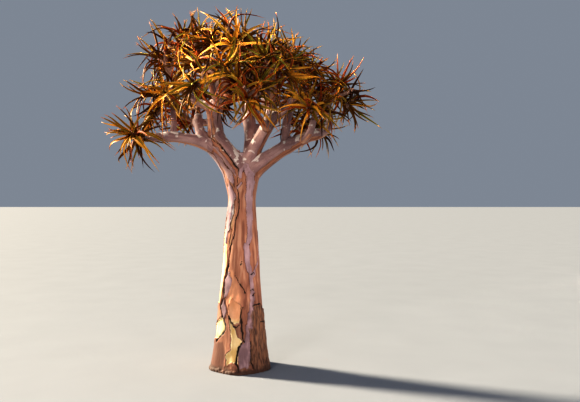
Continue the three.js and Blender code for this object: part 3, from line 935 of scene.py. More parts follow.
def rosette_places(middle, spread, rosettes, turn, random):
    outward = unit(middle - CROWN_HEART)
    level = unit(np.cross(UP, outward))
    rising = np.cross(outward, level)
    in_ring = min(rosettes, 3)
    places = []
    for i in range(rosettes):
        angle = math.radians(turn) + 2 * math.pi * i / in_ring + RING_SHAKE * (next(random) - 0.5)
        reach = spread * (NEAREST_REACH + REACH_RANGE * next(random))
        ring = level * math.cos(angle) + rising * math.sin(angle)
        place = middle + (ring if i < in_ring else outward * FRONT_REACH) * reach
        pull = OUTWARD_PULL * unit(place - CROWN_HEART) + UPWARD_PULL * UP
        places.append((place, unit(pull + SIDEWAYS_PULL * unit(place - middle))))
    return places


def twig_line(start, along, end, arriving):
    third = np.linalg.norm(end - start) / 3
    return np.array([start, start + along * third, end - arriving * third, end])


def source_twigs(bough, places):
    """The stem and its forks, each with its line, its radius at the foot and its steps."""
    start = points_on(bough["control"], 1)[0]
    ahead = directions_on(bough["control"], 1)[0]
    first, *others = sorted(places, key=lambda place: -unit(place[0] - start) @ ahead)
    stem_foot = bough["radii"][-1]
    stem = twig_line(start, ahead, *first)
    twigs = [(stem, stem_foot, 3)]
    for i, (place, axis) in enumerate(others):
        share = FIRST_FORK + i * FORK_STEP
        leaving = points_on(stem, share)[0]
        along = unit(directions_on(stem, share)[0] + unit(place - leaving))
        foot = mix(stem_foot, TWIG_TIP_RADIUS, share) * FORK_FOOT
        twigs.append((twig_line(leaving, along, place, axis), foot, 2))
    return twigs


# %% [markdown]
# ## Finer twigs
#
# The plain model stops at one rosette for each twig. A real kokerboom forks once more close to its
# ends, so each twig here bears a short side twig, which ends in a smaller rosette. The mass at the
# low left bears one full rosette instead, wide open and turned to the front.

# %% Grow the twigs and find each rosette's frame
SIDE_TWIG_AT = (0.4, 0.62)
SIDE_TWIG_OUT = (0.12, 0.18)
SIDE_TWIG_BACK = (-0.02, 0.075)
SIDE_TWIG_FOOT = 0.8
SIDE_TWIG_TIP_RADIUS = 16 * MM
TURN_PER_LEAF = 137.5
OPEN_ROSETTE_TURN = 0.4
# how much a side twig's end faces along its twig, sideways and up
SIDE_FACING = (0.7, 0.75, 0.2)
# masses that show a whole open rosette in front: where it is from the mass's middle, and its facing
OPEN_IN_FRONT = {
    "low_left_mass": ((-20, -190, -10), (-0.15, -1.0, 0.3)),
}


def frame_at_tip(line, steps):
    """The rosette's frame: where it is, the way it faces, and two directions across."""
    shares = np.linspace(0, 1, steps + 1)
    dots = points_on(line, shares)
    axis = unit(dots[-1] - dots[-2])
    side = sides_along(directions_on(line, shares))[-1]
    return {"top": dots[-1], "axis": axis, "side": side, "across": unit(np.cross(axis, side))}


def side_twig(line, foot, number, chance):
    """A short twig that leaves another, with its line and its radius at the foot."""
    head = frame_at_tip(line, 2)
    share = mix(*SIDE_TWIG_AT, chance.random())
    leaving = points_on(line, share)[0]
    turn = math.radians(TURN_PER_LEAF) * (2 * number) + chance.random()
    sideways = head["side"] * math.cos(turn) + head["across"] * math.sin(turn)
    out = mix(*SIDE_TWIG_OUT, chance.random())
    end = head["top"] + sideways * out - head["axis"] * mix(*SIDE_TWIG_BACK, chance.random())
    ahead, aside, up = SIDE_FACING
    arriving = unit(ahead * head["axis"] + aside * sideways + up * UP)
    along = unit(directions_on(line, share)[0] + sideways)
    return twig_line(leaving, along, end, arriving), SIDE_TWIG_FOOT * mix(foot, TWIG_TIP_RADIUS, share)


def open_twig(mass_name, middle, line, foot):
    """A full-sized rosette in front of the mass, on a twig that turns to the front."""
    place, facing = (np.array(values) for values in OPEN_IN_FRONT[mass_name])
    share = SIDE_TWIG_AT[0]
    leaving = points_on(line, share)[0]
    facing = unit(facing)
    along = unit(directions_on(line, share)[0] + facing)
    end = middle + place * MM
    return twig_line(leaving, along, end, facing), SIDE_TWIG_FOOT * mix(foot, TWIG_TIP_RADIUS, share)


def grow_masses():
    masses = []
    for number, (name, bough, middle, spread, rosettes, turn) in enumerate(MASSES):
        random = random_from(number + 1)
        chance = np.random.default_rng(100 + number)
        middle = np.array(middle) * MM
        places = rosette_places(middle, spread * MM, rosettes, turn, random)
        twigs, heads = [], []
        for line, foot, steps in source_twigs(limbs[bough], places):
            heads.append({**frame_at_tip(line, steps), "turn": 2 * math.pi * next(random), "main": True})
            twigs.append((line, foot, TWIG_TIP_RADIUS))
        if name in OPEN_IN_FRONT:
            line, foot = open_twig(name, middle, *twigs[0][:2])
            turn_now = OPEN_ROSETTE_TURN
            heads.append({**frame_at_tip(line, 3), "turn": turn_now, "main": True, "open": True})
            twigs.append((line, foot, TWIG_TIP_RADIUS))
        else:
            for i, (line, foot, _) in enumerate(list(twigs)):
                finer, finer_foot = side_twig(line, foot, i, chance)
                turn_now = 2 * math.pi * chance.random()
                heads.append({**frame_at_tip(finer, 3), "turn": turn_now, "main": False})
                twigs.append((finer, finer_foot, SIDE_TWIG_TIP_RADIUS))
        masses.append({"name": name, "middle": middle, "spread": spread * MM, "twigs": twigs,
                       "heads": heads, "random": random, "chance": chance})
    return masses


masses = grow_masses()
print(sum(len(mass["heads"]) for mass in masses), "rosettes")

# %% [markdown]
# ## Twigs as meshes
#
# A twig's end is three to four and a half centimetres thick. Fallen leaves leave a low collar round
# it, one every 14 mm, so its rings swell and shrink in turn. The end is rounded where the youngest
# leaves stand, and the foot reaches a little way into the limb that bears it.

# %% Make the twigs
TWIG_SIDES = 10
COLLAR_SPACING = 0.014
COLLAR_HEIGHT = 0.0016
BLUNT_END = 0.12
BEYOND_TIP = 1.0001
DEEPEST_FOOT = 0.012


def twig_limb(line, foot, tip):
    size = length_of(line)
    rings = max(FEWEST_STEPS, round(2 * size / COLLAR_SPACING))
    one = limb("twig", line, tapered(foot, tip), size / rings)
    collars = COLLAR_HEIGHT * (np.arange(len(one["dots"])) % 2)
    left = BEYOND_TIP - np.linspace(0, 1, len(one["dots"]))
    ending = np.sqrt(np.clip(left * size / tip, BLUNT_END, 1))
    one["dots"][0] -= one["directions"][0] * min(DEEPEST_FOOT, foot)
    one["shape"] = (one["radii"] + collars) * ending
    return one


def twig_mesh(name, twigs):
    sheet = Sheet()
    for line, foot, tip in twigs:
        one = twig_limb(line, foot, tip)
        add_tube(sheet, one, one["shape"], TWIG_SIDES)
    mesh = sheet.mesh(name)
    mesh.polygons.foreach_set("use_smooth", [True] * len(mesh.polygons))
    return mesh


# %% [markdown]
# ## Leaves
#
# A leaf is a long, thick, channelled blade: flat or hollow above, with a keel below, and drawn to a
# point. Young leaves stand up in the rosette's heart. As they age they open, arch over and at last
# hang down the twig. The next cell gives each leaf its age, its lean, its length and its bend by the
# same rule as the plain model, with an arch and a hooked tip besides. A main rosette has the model's
# twelve leaves and eight more between them, and a side rosette has five.

# %% Lay out a rosette's leaves
LEAVES_PER_ROSETTE = 12
MORE_LEAVES_EVERY = 1.4
SIDE_ROSETTE_LEAVES = 5
LEAF_LENGTH = 0.345
MORE_LEAF_LENGTH = 0.9 * LEAF_LENGTH
SIDE_LEAF_LENGTH = 0.26
SHORTEST_LEAF = 0.86
LENGTH_RANGE = 0.28
YOUNG_LEAF_LENGTH = 0.72
GROWN_AT = 0.45
YOUNG_LEAF_ANGLE = 12
OLD_LEAF_ANGLE = 112
ANGLE_SHAKE = 16
OPENING = 0.85
LEAST_DROOP = 0.1
DROOP_RANGE = 0.75
CURL = 0.25
ROSETTE_DEPTH = 0.11
SIDE_ROSETTE_DEPTH = 0.08
ROOT_REACH = 0.003
ARCH = 0.36
YOUNG_ARCH = -0.3
LEAST_ARCH = 0.5
ARCH_BY_AGE = 1.6
HOOK = 0.85
YOUNG_HOOK = -0.7
LEAST_HOOK = 0.1
HOOK_BY_AGE = 1.5
SIDE_HOOK = 0.2


def leaves_of(head, number, age, length, depth, own):
    """Where each leaf's middle line starts, bends and ends, and the direction of its width."""
    turn = np.radians(TURN_PER_LEAF * number) + head["turn"]
    radial = head["side"] * np.cos(turn)[:, None] + head["across"] * np.sin(turn)[:, None]
    lean = np.radians(mix(YOUNG_LEAF_ANGLE, OLD_LEAF_ANGLE, age**OPENING) + ANGLE_SHAKE * (own[:, 0] - 0.5))
    grown = mix(YOUNG_LEAF_LENGTH, 1, np.minimum(1, age / GROWN_AT))
    half = length * grown * (SHORTEST_LEAF + LENGTH_RANGE * own[:, 1]) / 2
    droop = (LEAST_DROOP + DROOP_RANGE * own[:, 2]) * np.sin(lean)
    inner = head["axis"] * np.cos(lean)[:, None] + radial * np.sin(lean)[:, None]
    outer = unit(inner - UP * droop[:, None] + head["axis"] * (CURL * own[:, 3])[:, None])
    root = head["top"] - head["axis"] * (depth * age)[:, None] + radial * ROOT_REACH
    bend = root + inner * half[:, None]
    point = bend + outer * half[:, None]
    width = unit(np.cross(head["axis"], radial))
    # a young leaf bows outward and its tip turns in, an old one arches up and its tip turns down
    above = unit(np.cross(inner, width))
    arched = mix(YOUNG_ARCH, 1, np.minimum(1, age * ARCH_BY_AGE))
    bow = (arched * ARCH * (LEAST_ARCH + own[:, 1]))[:, None]
    bend = bend + above * bow * (2 * half)[:, None]
    hooked = mix(YOUNG_HOOK, 1, np.minimum(1, age * HOOK_BY_AGE))
    down = HOOK * hooked * (own[:, 3] + LEAST_HOOK)
    aside = SIDE_HOOK * 2 * (own[:, 2] - 0.5) * np.where(number.astype(int) % 2, 1, -1)
    hook = (-above * down[:, None] + width * aside[:, None]) * (2 * half)[:, None]
    return {"root": root, "bend": bend, "point": point, "hook": hook, "age": age,
            "width": width, "length": 2 * half}


def rosette(head, mass):
    """All the leaves of one rosette, before any is shortened or left out."""
    if not head["main"]:
        count = SIDE_ROSETTE_LEAVES
        number = np.arange(count)
        own = mass["chance"].random((count, 4))
        return leaves_of(head, number, (number + 0.5) / count, SIDE_LEAF_LENGTH, SIDE_ROSETTE_DEPTH, own)
    count = LEAVES_PER_ROSETTE
    number = np.arange(count)
    own = np.array([next(mass["random"]) for _ in range(4 * count)]).reshape(count, 4)
    first = leaves_of(head, number, (number + 0.5) / count, LEAF_LENGTH, ROSETTE_DEPTH, own)
    number = np.arange(0.5, count - 1.5, MORE_LEAVES_EVERY)
    own = mass["chance"].random((len(number), 4))
    second = leaves_of(head, number, (number + 0.5) / count, MORE_LEAF_LENGTH, ROSETTE_DEPTH, own)
    return {key: np.concatenate([first[key], second[key]]) for key in first}


# %% [markdown]
# ## Room for each leaf
#
# No leaf grows through a bough, out of its mass's own space or out of the plain model's box, and the
# highest tips keep under a roof that falls to the front and to the back. A leaf that would not is
# tried shorter, and then left out.

# %% Fit the leaves to their room
SPACE_MARGIN = 0.35
SPACE_BELOW = 0.235
SHORTER_LEAVES = (1, 0.8, 0.62)
TRIED_PLACES = (0.3, 0.45, 0.6, 0.75, 0.9, 1.0)
LEAF_CLEARANCE = 0.004
CROWN_TOP = 3.3
CROWN_FALL = 0.3
HOOK_POWER = 2.5


def shortened(leaves, share):
    root = leaves["root"]
    return {**leaves, "bend": root + (leaves["bend"] - root) * share,
            "point": root + (leaves["point"] - root) * share, "hook": leaves["hook"] * share,
            "length": leaves["length"] * share}


def along_leaf(leaves, t):
    """Points on every leaf's middle line: an array of leaf, place along it, and x, y, z."""
    t = np.asarray(t)[None, :, None]
    root, bend, point, hook = (leaves[key][:, None, :] for key in ("root", "bend", "point", "hook"))
    return root * (1 - t) ** 2 + bend * 2 * t * (1 - t) + point * t**2 + hook * t**HOOK_POWER


def has_room(leaves, mass):
    places = along_leaf(leaves, TRIED_PLACES)
    tip = places[:, -1]
    step = tip - mass["middle"]
    near = np.linalg.norm(step, axis=1) < mass["spread"] + SPACE_MARGIN
    near &= step[:, 2] > -mass["spread"] - SPACE_BELOW
    low, high = np.array(MODEL_BOX[0]), np.array(MODEL_BOX[1])
    near &= ((tip > low) & (tip < high)).all(1)
    near &= tip[:, 2] < CROWN_TOP - CROWN_FALL * abs(tip[:, 1])
    flat = places.reshape(-1, 3)
    gap = np.min([nearest(one, flat)[0] for one in limbs.values()], axis=0)
    return near & (gap.reshape(places.shape[:2]) > LEAF_CLEARANCE).all(1)


def fitted(leaves, mass):
    """Each leaf at the greatest length that has room."""
    left = np.ones(len(leaves["age"]), bool)
    fits = []
    for share in SHORTER_LEAVES:
        tried = shortened(leaves, share)
        good = has_room(tried, mass) & left
        fits.append({key: values[good] for key, values in tried.items()})
        left &= ~good
    return {key: np.concatenate([one[key] for one in fits]) for key in leaves}


# %% [markdown]
# ## Colour by spray
#
# In dry hills the leaves are olive, and sun and thirst turn them gold, orange and rust from the edges
# and the tip inward. Each leaf therefore has three plain finishes: one on its blade, one on its thin
# edges and its tip, and one on its underside. The usual underside is a darker brown, which is painted
# shade. These three make a look. Each rosette draws a spray, which is a list of four looks that its
# leaves share out, and many of its oldest leaves turn rusty or dry. Side rosettes, which stand a little
# deeper in the crown, draw sprays with more rusty and dry leaves: partly dry leaves, and partly painted
# shade inside the crown.

# %% Choose each leaf's finishes
# the last finish is the usual underside, darker than the blade as painted shade
OLIVE, GREEN, GOLDEN, ORANGE, RUST, DRY, SHADED_UNDERSIDE = range(7)
# looks: blade, edge and underside
LOOKS = [
    (OLIVE, GOLDEN, SHADED_UNDERSIDE),
    (GREEN, GOLDEN, SHADED_UNDERSIDE),
    (GOLDEN, ORANGE, SHADED_UNDERSIDE),
    (OLIVE, ORANGE, SHADED_UNDERSIDE),
    (GOLDEN, GOLDEN, OLIVE),
    (RUST, ORANGE, RUST),
    (DRY, DRY, DRY),
]
RUSTY_LOOK, DRY_LOOK = 5, 6
# sprays: each number is a look's place in the list above
OPEN_SPRAYS = [(2, 4, 2, 3)]
SPRAYS = [(0, 2, 3, 1), (0, 2, 4, 3), (1, 0, 1, 2), (2, 3, 5, 0), (1, 1, 4, 0), (0, 5, 3, 4)]
# side rosettes: more rusty and dry looks, partly dry leaves and partly painted shade deep in the crown
SHADED_INNER_SPRAYS = [(0, 5, 6, 3), (5, 6, 6, 0), (1, 5, 3, 6)]
DRY_FROM = 0.9
DRY_SHARE = 0.55
RUSTY_FROM = 0.72
RUSTY_SHARE = 0.5


def looks_of(leaves, sprays, chance):
    spray = np.array(sprays[chance.integers(len(sprays))])
    look = spray[chance.integers(len(spray), size=len(leaves["age"]))]
    look[(leaves["age"] > RUSTY_FROM) & (chance.random(len(look)) < RUSTY_SHARE)] = RUSTY_LOOK
    look[(leaves["age"] > DRY_FROM) & (chance.random(len(look)) < DRY_SHARE)] = DRY_LOOK
    return np.array(LOOKS)[look]


# %% [markdown]
# ## The leaf's outline
#
# Six corners make a ring round the leaf: two edges, two points just inside them, the floor of the
# channel and the keel. Eight rings, narrower towards the tip, make the blade. A small sideways sway
# and a twist keep any two leaves from being the same.

# %% Make the leaves
LEAF_WIDTH = 0.028
LEAF_THICKNESS = 0.013
EDGE_SHARE = 0.2
RING_PLACES = np.array([0.0, 0.1, 0.24, 0.4, 0.56, 0.72, 0.87, 1.0])
RING_WIDTHS = np.array([0.92, 1.0, 0.97, 0.87, 0.72, 0.53, 0.31, 0.04])
# across and above, as shares of half the leaf's width; the keel is placed by thickness
RING = [(-1, 0), (EDGE_SHARE - 1, -0.13), (0, -0.3), (1 - EDGE_SHARE, -0.13), (1, 0), (0, -0.36)]
RING_CORNERS = len(RING)
FIRST_EDGE, SECOND_EDGE, KEEL_CORNER = 0, 4, 5
TIP_FROM_RING = 6
THINNER_AT_TIP = 0.75
SWAY = 0.035
SWAY_WAVES = 1.6
TWIST = 0.5
BLADE, MARGIN, UNDERSIDE = range(3)


def leaf_corners(leaves, chance):
    t = RING_PLACES
    count = len(leaves["age"])
    centre = along_leaf(leaves, t)
    sway = SWAY * (chance.random(count) - 0.5)[:, None] * np.sin(np.pi * t * SWAY_WAVES)[None, :]
    centre = centre + leaves["width"][:, None, :] * sway[:, :, None]
    tangent = unit(np.gradient(centre, axis=1))
    flat = leaves["width"][:, None, :]
    width = unit(flat - tangent * (tangent * flat).sum(-1, keepdims=True))
    above = np.cross(tangent, width)
    twist = (TWIST * (chance.random(count) - 0.5) * 2)[:, None, None] * (t**1.5)[None, :, None]
    sine, cosine = np.sin(twist), np.cos(twist)
    width, above = width * cosine + above * sine, above * cosine - width * sine
    size = LEAF_WIDTH / 2 * np.sqrt(leaves["length"] / LEAF_LENGTH)
    half = (size[:, None] * RING_WIDTHS[None, :])[:, :, None]
    thick = LEAF_THICKNESS * (1 - THINNER_AT_TIP * t) * np.minimum(1, RING_WIDTHS * 3)
    rings = []
    for k, (x, y) in enumerate(RING):
        drop = thick[None, :, None] if k == KEEL_CORNER else 0
        rings.append(centre + width * half * x + above * (half * y - drop))
    return np.stack(rings, axis=2)


def leaf_faces():
    """The faces of one leaf and, for each, whether it is blade, margin or underside."""
    faces, parts = [], []
    for ring in range(len(RING_PLACES) - 1):
        at_tip = ring >= TIP_FROM_RING
        for k in range(RING_CORNERS):
            here = RING_CORNERS * ring + k
            after = RING_CORNERS * ring + (k + 1) % RING_CORNERS
            faces.append((here, here + RING_CORNERS, after + RING_CORNERS, after))
            if k >= SECOND_EDGE:
                parts.append(MARGIN if at_tip else UNDERSIDE)
            else:
                parts.append(MARGIN if at_tip or k in (FIRST_EDGE, SECOND_EDGE - 1) else BLADE)
    for ring in (0, len(RING_PLACES) - 1):
        for face in [(0, 1, 2, 5), (2, 3, 4, 5)]:
            face = [RING_CORNERS * ring + k for k in face]
            faces.append(tuple(face if ring == 0 else face[::-1]))
            parts.append(UNDERSIDE)
    return np.array(faces), np.array(parts)


def leaf_mesh(name, corners, looks, materials):
    count = len(corners)
    one_leaf, parts = leaf_faces()
    per_leaf = RING_CORNERS * len(RING_PLACES)
    faces = one_leaf[None, :, :] + per_leaf * np.arange(count)[:, None, None]
    mesh = bpy.data.meshes.new(name)
    mesh.from_pydata(corners.reshape(-1, 3).tolist(), [], faces.reshape(-1, 4).tolist())
    for material in materials:
        mesh.materials.append(material)
    mesh.polygons.foreach_set("material_index", looks[:, parts].ravel().astype(np.int32))
    mesh.polygons.foreach_set("use_smooth", [True] * len(mesh.polygons))
    ends = np.empty(2 * len(mesh.edges), np.int32)
    mesh.edges.foreach_get("vertices", ends)
    ends = ends.reshape(-1, 2) % RING_CORNERS
    sharp = (ends[:, 0] == ends[:, 1]) & np.isin(ends[:, 0], (FIRST_EDGE, SECOND_EDGE))
    mesh.attributes.new("sharp_edge", "BOOLEAN", "EDGE").data.foreach_set("value", sharp)
    mesh.update()
    return mesh


# %% [markdown]
# ## Materials
#
# Colours are written as on the web, and turned to the linear values that Blender reckons with.

# %% Helpers for materials
COLOUR_A, COLOUR_B = 6, 7
COLOUR_OUT = 2


def colour(code):
    parts = [int(code[i:i + 2], 16) / 255 for i in (1, 3, 5)]
    linear = [part / 12.92 if part <= 0.04045 else ((part + 0.055) / 1.055) ** 2.4 for part in parts]
    return (*linear, 1)


def add(tree, kind, inputs=None, **settings):
    """Add a node with its settings, and give each input a value or a link."""
    made = tree.nodes.new(kind)
    for name, value in settings.items():
        setattr(made, name, value)
    for name, value in (inputs or {}).items():
        if isinstance(value, bpy.types.NodeSocket):
            tree.links.new(value, made.inputs[name])
        else:
            made.inputs[name].default_value = value
    return made


def new_material(name):
    material = bpy.data.materials.new(name)
    material.use_nodes = True
    material.node_tree.nodes.clear()
    return material, material.node_tree


# %% [markdown]
# ## Bark
#
# Kokerboom bark is a corky skin under a thin powder that turns away the sun: it is dull, with a faint
# sheen at most, and lilac grey where it is whole. Where it has split, tan cork shows, with fine
# streaks along the limb. Freshly bared bark is golden and smooth as paper, and old bark at the foot
# is dark and stained.
#
# Each layer is painted in coats: a coat lies where a pattern has certain values. The fields that are
# stored on the mesh say which layer is where, and four noises break them up. The noises are worked
# out in the grain, which is the place on the straightened limb, so they can be drawn out along it.

# %% A coat of colour
def coat(tree, under, over, pattern, low, high, strength=1.0, where=None):
    """Lay a colour over another as a pattern goes from low to high, and no more than where allows."""
    spread = {"Value": pattern, "From Min": low, "From Max": high, "To Max": strength}
    share = add(tree, "ShaderNodeMapRange", spread, interpolation_type="SMOOTHSTEP").outputs[0]
    if where is not None:
        share = add(tree, "ShaderNodeMath", {0: share, 1: where}, operation="MULTIPLY").outputs[0]
    under, over = (colour(one) if isinstance(one, str) else one for one in (under, over))
    inputs = {0: share, COLOUR_A: under, COLOUR_B: over}
    return add(tree, "ShaderNodeMix", inputs, data_type="RGBA").outputs[COLOUR_OUT]


# %% [markdown]
# The patterns are the fields, the noises and, for skin and gold, a band at the layer's edge and one on
# each side of it. The specks shake the edge, so it looks torn and not drawn.

# %% The patterns in the bark
BARK_FIELDS = ("skin", "gold", "rough", "crack", "cream", "powder_and_sun_patches", "foot", "painted_sun_and_shade")
# how many times each noise repeats in a metre, across a limb twice and along it, and its detail
BARK_NOISES = {
    "speck": ((120, 120, 120), 4.0),
    "streak": ((90, 90, 9), 3.0),
    "blotch": ((16, 16, 7), 4.0),
    "band": ((40, 40, 3), 5.0),
}
# how far the specks shake the edge of each layer
EDGE_SHAKES = {"skin": 0.16, "gold": 0.3}
# where each edge is sharp, and where the rim outside and inside it begins and ends
EDGE_BANDS = [("on", -0.02, 0.02), ("outside", -0.15, -0.03), ("inside", 0.03, -0.01)]


def bark_patterns(tree):
    """The fields on the mesh and the noises, by name, as sockets of the nodes that give them."""
    found = {}
    for key in BARK_FIELDS:
        found[key] = add(tree, "ShaderNodeAttribute", attribute_name=key).outputs["Fac"]
    grain = add(tree, "ShaderNodeAttribute", attribute_name="grain").outputs["Vector"]
    for name, (stretch, detail) in BARK_NOISES.items():
        space = add(tree, "ShaderNodeVectorMath", {0: grain, 1: stretch}, operation="MULTIPLY").outputs[0]
        inputs = {"Vector": space, "Scale": 1.0, "Detail": detail}
        found[name] = add(tree, "ShaderNodeTexNoise", inputs).outputs["Fac"]
    for layer, shake in EDGE_SHAKES.items():
        speck = add(tree, "ShaderNodeMath", {0: found["speck"], 1: -0.5}, operation="ADD").outputs[0]
        shaken = {0: speck, 1: shake, 2: found[layer]}
        edge = add(tree, "ShaderNodeMath", shaken, operation="MULTIPLY_ADD").outputs[0]
        for name, low, high in EDGE_BANDS:
            spread = {"Value": edge, "From Min": low, "From Max": high}
            band = add(tree, "ShaderNodeMapRange", spread, interpolation_type="SMOOTHSTEP")
            found[f"{name}_{layer}"] = band.outputs[0]
        rim = {0: found[f"outside_{layer}"], 1: found[f"inside_{layer}"]}
        found[f"{layer}_rim"] = add(tree, "ShaderNodeMath", rim, operation="MULTIPLY").outputs[0]
        found[f"{layer}_edge"] = edge
    return found


# %% [markdown]
# Every layer has its own coats, from the cork inside to the skin outside. They are then laid over one
# another, and old bark, cracks and stains come last.

# %% The layers of the bark, from the inside out
def tan_cork(tree, found):
    """Split bark: streaked tan cork, with a painted patch of sunlight, a painted shadow low on the left,
    and stains towards the ground.
    """
    streaks = {0: found["streak"], COLOUR_A: colour("#945c46"), COLOUR_B: colour("#be876b")}
    tan = add(tree, "ShaderNodeMix", streaks, data_type="RGBA").outputs[COLOUR_OUT]
    tan = coat(tree, tan, "#cc9d80", found["band"], 0.5, 0.66, 0.8)
    tan = coat(tree, tan, "#744533", found["band"], 0.46, 0.36, 0.7)
    # painted sunlight on a patch of the tan, then painted shadow low on the left
    tan = coat(tree, tan, "#f2b088", found["painted_sun_and_shade"], 0, 1)
    tan = coat(tree, tan, "#56342a", found["painted_sun_and_shade"], 0, -1, 0.8)
    return coat(tree, tan, "#683e2d", found["blotch"], 0.25, 0.6, 0.7, found["foot"])


def golden_bark(tree, found):
    """Flaked bark: peach, or cream where it is newest, with a painted highlight along its edge, where the
    thin bark is also pale.
    """
    peach = coat(tree, "#dc9c72", "#f0b68e", found["blotch"], 0.35, 0.65)
    cream = coat(tree, "#e6be7c", "#f8e0ae", found["blotch"], 0.35, 0.65)
    golden = coat(tree, peach, cream, found["cream"], 0, 1)
    # a pale paper-thin edge with a painted highlight on it
    return coat(tree, golden, "#fbeec8", found["gold_edge"], 0.3, 0.06, 0.6, found["cream"])


def lilac_skin(tree, found, hues):
    """Whole bark: lilac skin with specks, pale powdery patches that are also painted sunlight, weathered
    bands, and stains near the ground.
    """
    lilac = coat(tree, *hues, found["blotch"], 0.35, 0.65)
    lilac = coat(tree, lilac, "#c9b3b0", found["speck"], 0.5, 0.8, 0.35)
    # pale powder, and painted sunlight on the tops of the boughs and on one strip of the trunk
    lilac = coat(tree, lilac, "#f2ebe4", found["powder_and_sun_patches"], 0, 1, 0.8)
    lilac = coat(tree, lilac, "#7b5c5e", found["band"], 0.48, 0.38, 0.5)
    return coat(tree, lilac, "#6a5054", found["blotch"], 0.25, 0.6, 0.85, found["foot"])


def bark_surface(tree, found, hues):
    """All the layers, with a shadow line under each rim, then old ridged bark, cracks and stains."""
    old = coat(tree, "#2c1a14", "#8c6449", found["streak"], 0.36, 0.62)
    surface = coat(tree, tan_cork(tree, found), golden_bark(tree, found), found["gold_edge"], -0.02, 0.02)
    surface = coat(tree, surface, "#3a1c10", found["blotch"], 0.3, 0.6, 0.9, found["skin_rim"])
    surface = coat(tree, surface, "#4a2513", found["blotch"], 0.35, 0.55, 0.8, found["gold_rim"])
    surface = coat(tree, surface, lilac_skin(tree, found, hues), found["skin_edge"], -0.02, 0.02)
    surface = coat(tree, surface, old, found["rough"], 0.0, 0.4, 0.8)
    surface = coat(tree, surface, "#1d0e08", found["crack"], 0.15, 0.5)
    return coat(tree, surface, "#4a3226", found["foot"], 0.87, 1.0, 0.9)


# %% [markdown]
# Bumps finish what the mesh is too coarse for: the thin edge of each layer and the grain of the cork.
# The boughs' skin is browner than the trunk's, so each has its own two hues.

# %% Kokerboom bark
# how high the edges of the layers and the grain of the cork seem to stand, in metres
FLAKE_BUMP = 0.0025
CORK_BUMP = 0.003


def bark_material(name, hues):
    material, tree = new_material(name)
    found = bark_patterns(tree)
    layers = {0: found["on_skin"], 1: found["on_gold"]}
    heights = add(tree, "ShaderNodeMath", layers, operation="SUBTRACT").outputs[0]
    flakes = {"Height": heights, "Distance": FLAKE_BUMP, "Strength": 0.6}
    edges = add(tree, "ShaderNodeBump", flakes).outputs[0]
    cork = {0: found["streak"], 1: 0.6, 2: found["speck"]}
    fine = add(tree, "ShaderNodeMath", cork, operation="MULTIPLY_ADD").outputs[0]
    bumps = {"Height": fine, "Distance": CORK_BUMP, "Strength": 0.7, "Normal": edges}
    bump = add(tree, "ShaderNodeBump", bumps).outputs[0]
    dullness = {"Value": found["speck"], "To Min": 0.58, "To Max": 0.82}
    rough = add(tree, "ShaderNodeMapRange", dullness).outputs[0]
    shader = add(tree, "ShaderNodeBsdfPrincipled", {
        "Base Color": bark_surface(tree, found, hues), "Roughness": rough, "IOR": 1.45, "Normal": bump,
        "Sheen Weight": 0.12, "Sheen Roughness": 0.5})
    add(tree, "ShaderNodeOutputMaterial", {"Surface": shader.outputs[0]})
    print(name, "is made of", len(tree.nodes), "nodes")
    return material


trunk_finish = bark_material("corky_trunk_bark", ("#b99a9f", "#a08389"))
bough_finish = bark_material("powdery_bough_bark", ("#907070", "#ac8c88"))
trunk_bark_piece.data.materials.append(trunk_finish)
bough_bark_piece.data.materials.append(bough_finish)

# %% [markdown]
# ## Leaf and twig finishes
#
# A leaf is waxy: its skin has a low sheen, with small flecks where the wax is thin. Each finish is one
# plain colour that the flecks vary a little, so a leaf keeps its colour wherever the flecks fall.

# %% Waxy leaves and young bark
FLECK = 0.004
FLECK_BUMP = 0.0008
WAX_IOR = 1.45


def waxy_leaf(name, plain, fleck, roughness):
    material, tree = new_material(name)
    place = add(tree, "ShaderNodeTexCoord").outputs["Object"]
    inputs = {"Vector": place, "Scale": 1 / FLECK, "Detail": 2.0}
    flecks = add(tree, "ShaderNodeTexNoise", inputs).outputs["Fac"]
    spread = {"Value": flecks, "From Min": 0.4, "From Max": 0.75}
    share = add(tree, "ShaderNodeMapRange", spread).outputs[0]
    tints = {0: share, COLOUR_A: colour(plain), COLOUR_B: colour(fleck)}
    mixed = add(tree, "ShaderNodeMix", tints, data_type="RGBA").outputs[COLOUR_OUT]
    shine = {"Value": flecks, "To Min": roughness - 0.08, "To Max": roughness + 0.12}
    rough = add(tree, "ShaderNodeMapRange", shine).outputs[0]
    bumps = {"Height": flecks, "Distance": FLECK_BUMP, "Strength": 0.5}
    bump = add(tree, "ShaderNodeBump", bumps).outputs[0]
    shader = add(tree, "ShaderNodeBsdfPrincipled", {
        "Base Color": mixed, "Roughness": rough, "IOR": WAX_IOR, "Specular IOR Level": 0.2, "Normal": bump})
    add(tree, "ShaderNodeOutputMaterial", {"Surface": shader.outputs[0]})
    return material


leaf_finishes = [
    waxy_leaf("olive_leaf", "#7e641e", "#987c2e", 0.45),
    waxy_leaf("green_leaf", "#6e6c26", "#868236", 0.45),
    waxy_leaf("golden_leaf", "#d8942e", "#f0b850", 0.45),
    waxy_leaf("orange_leaf_edge", "#d0701e", "#e6963c", 0.45),
    waxy_leaf("rusty_leaf", "#843814", "#9c4e1c", 0.55),
    waxy_leaf("dry_leaf", "#3e2210", "#56321a", 0.75),
    # the usual underside: a darker brown, painted shade
    waxy_leaf("leaf_underside_painted_shade", "#5e3c10", "#744e1a", 0.5),
]
twig_finish = waxy_leaf("young_twig_bark", "#8a6a5e", "#a58a7c", 0.7)

# %% [markdown]
# ## Foliage pieces
#
# Twigs and leaves are joined by region of the crown, each kind apart. A few large pieces render and
# export far faster than thousands of small ones.

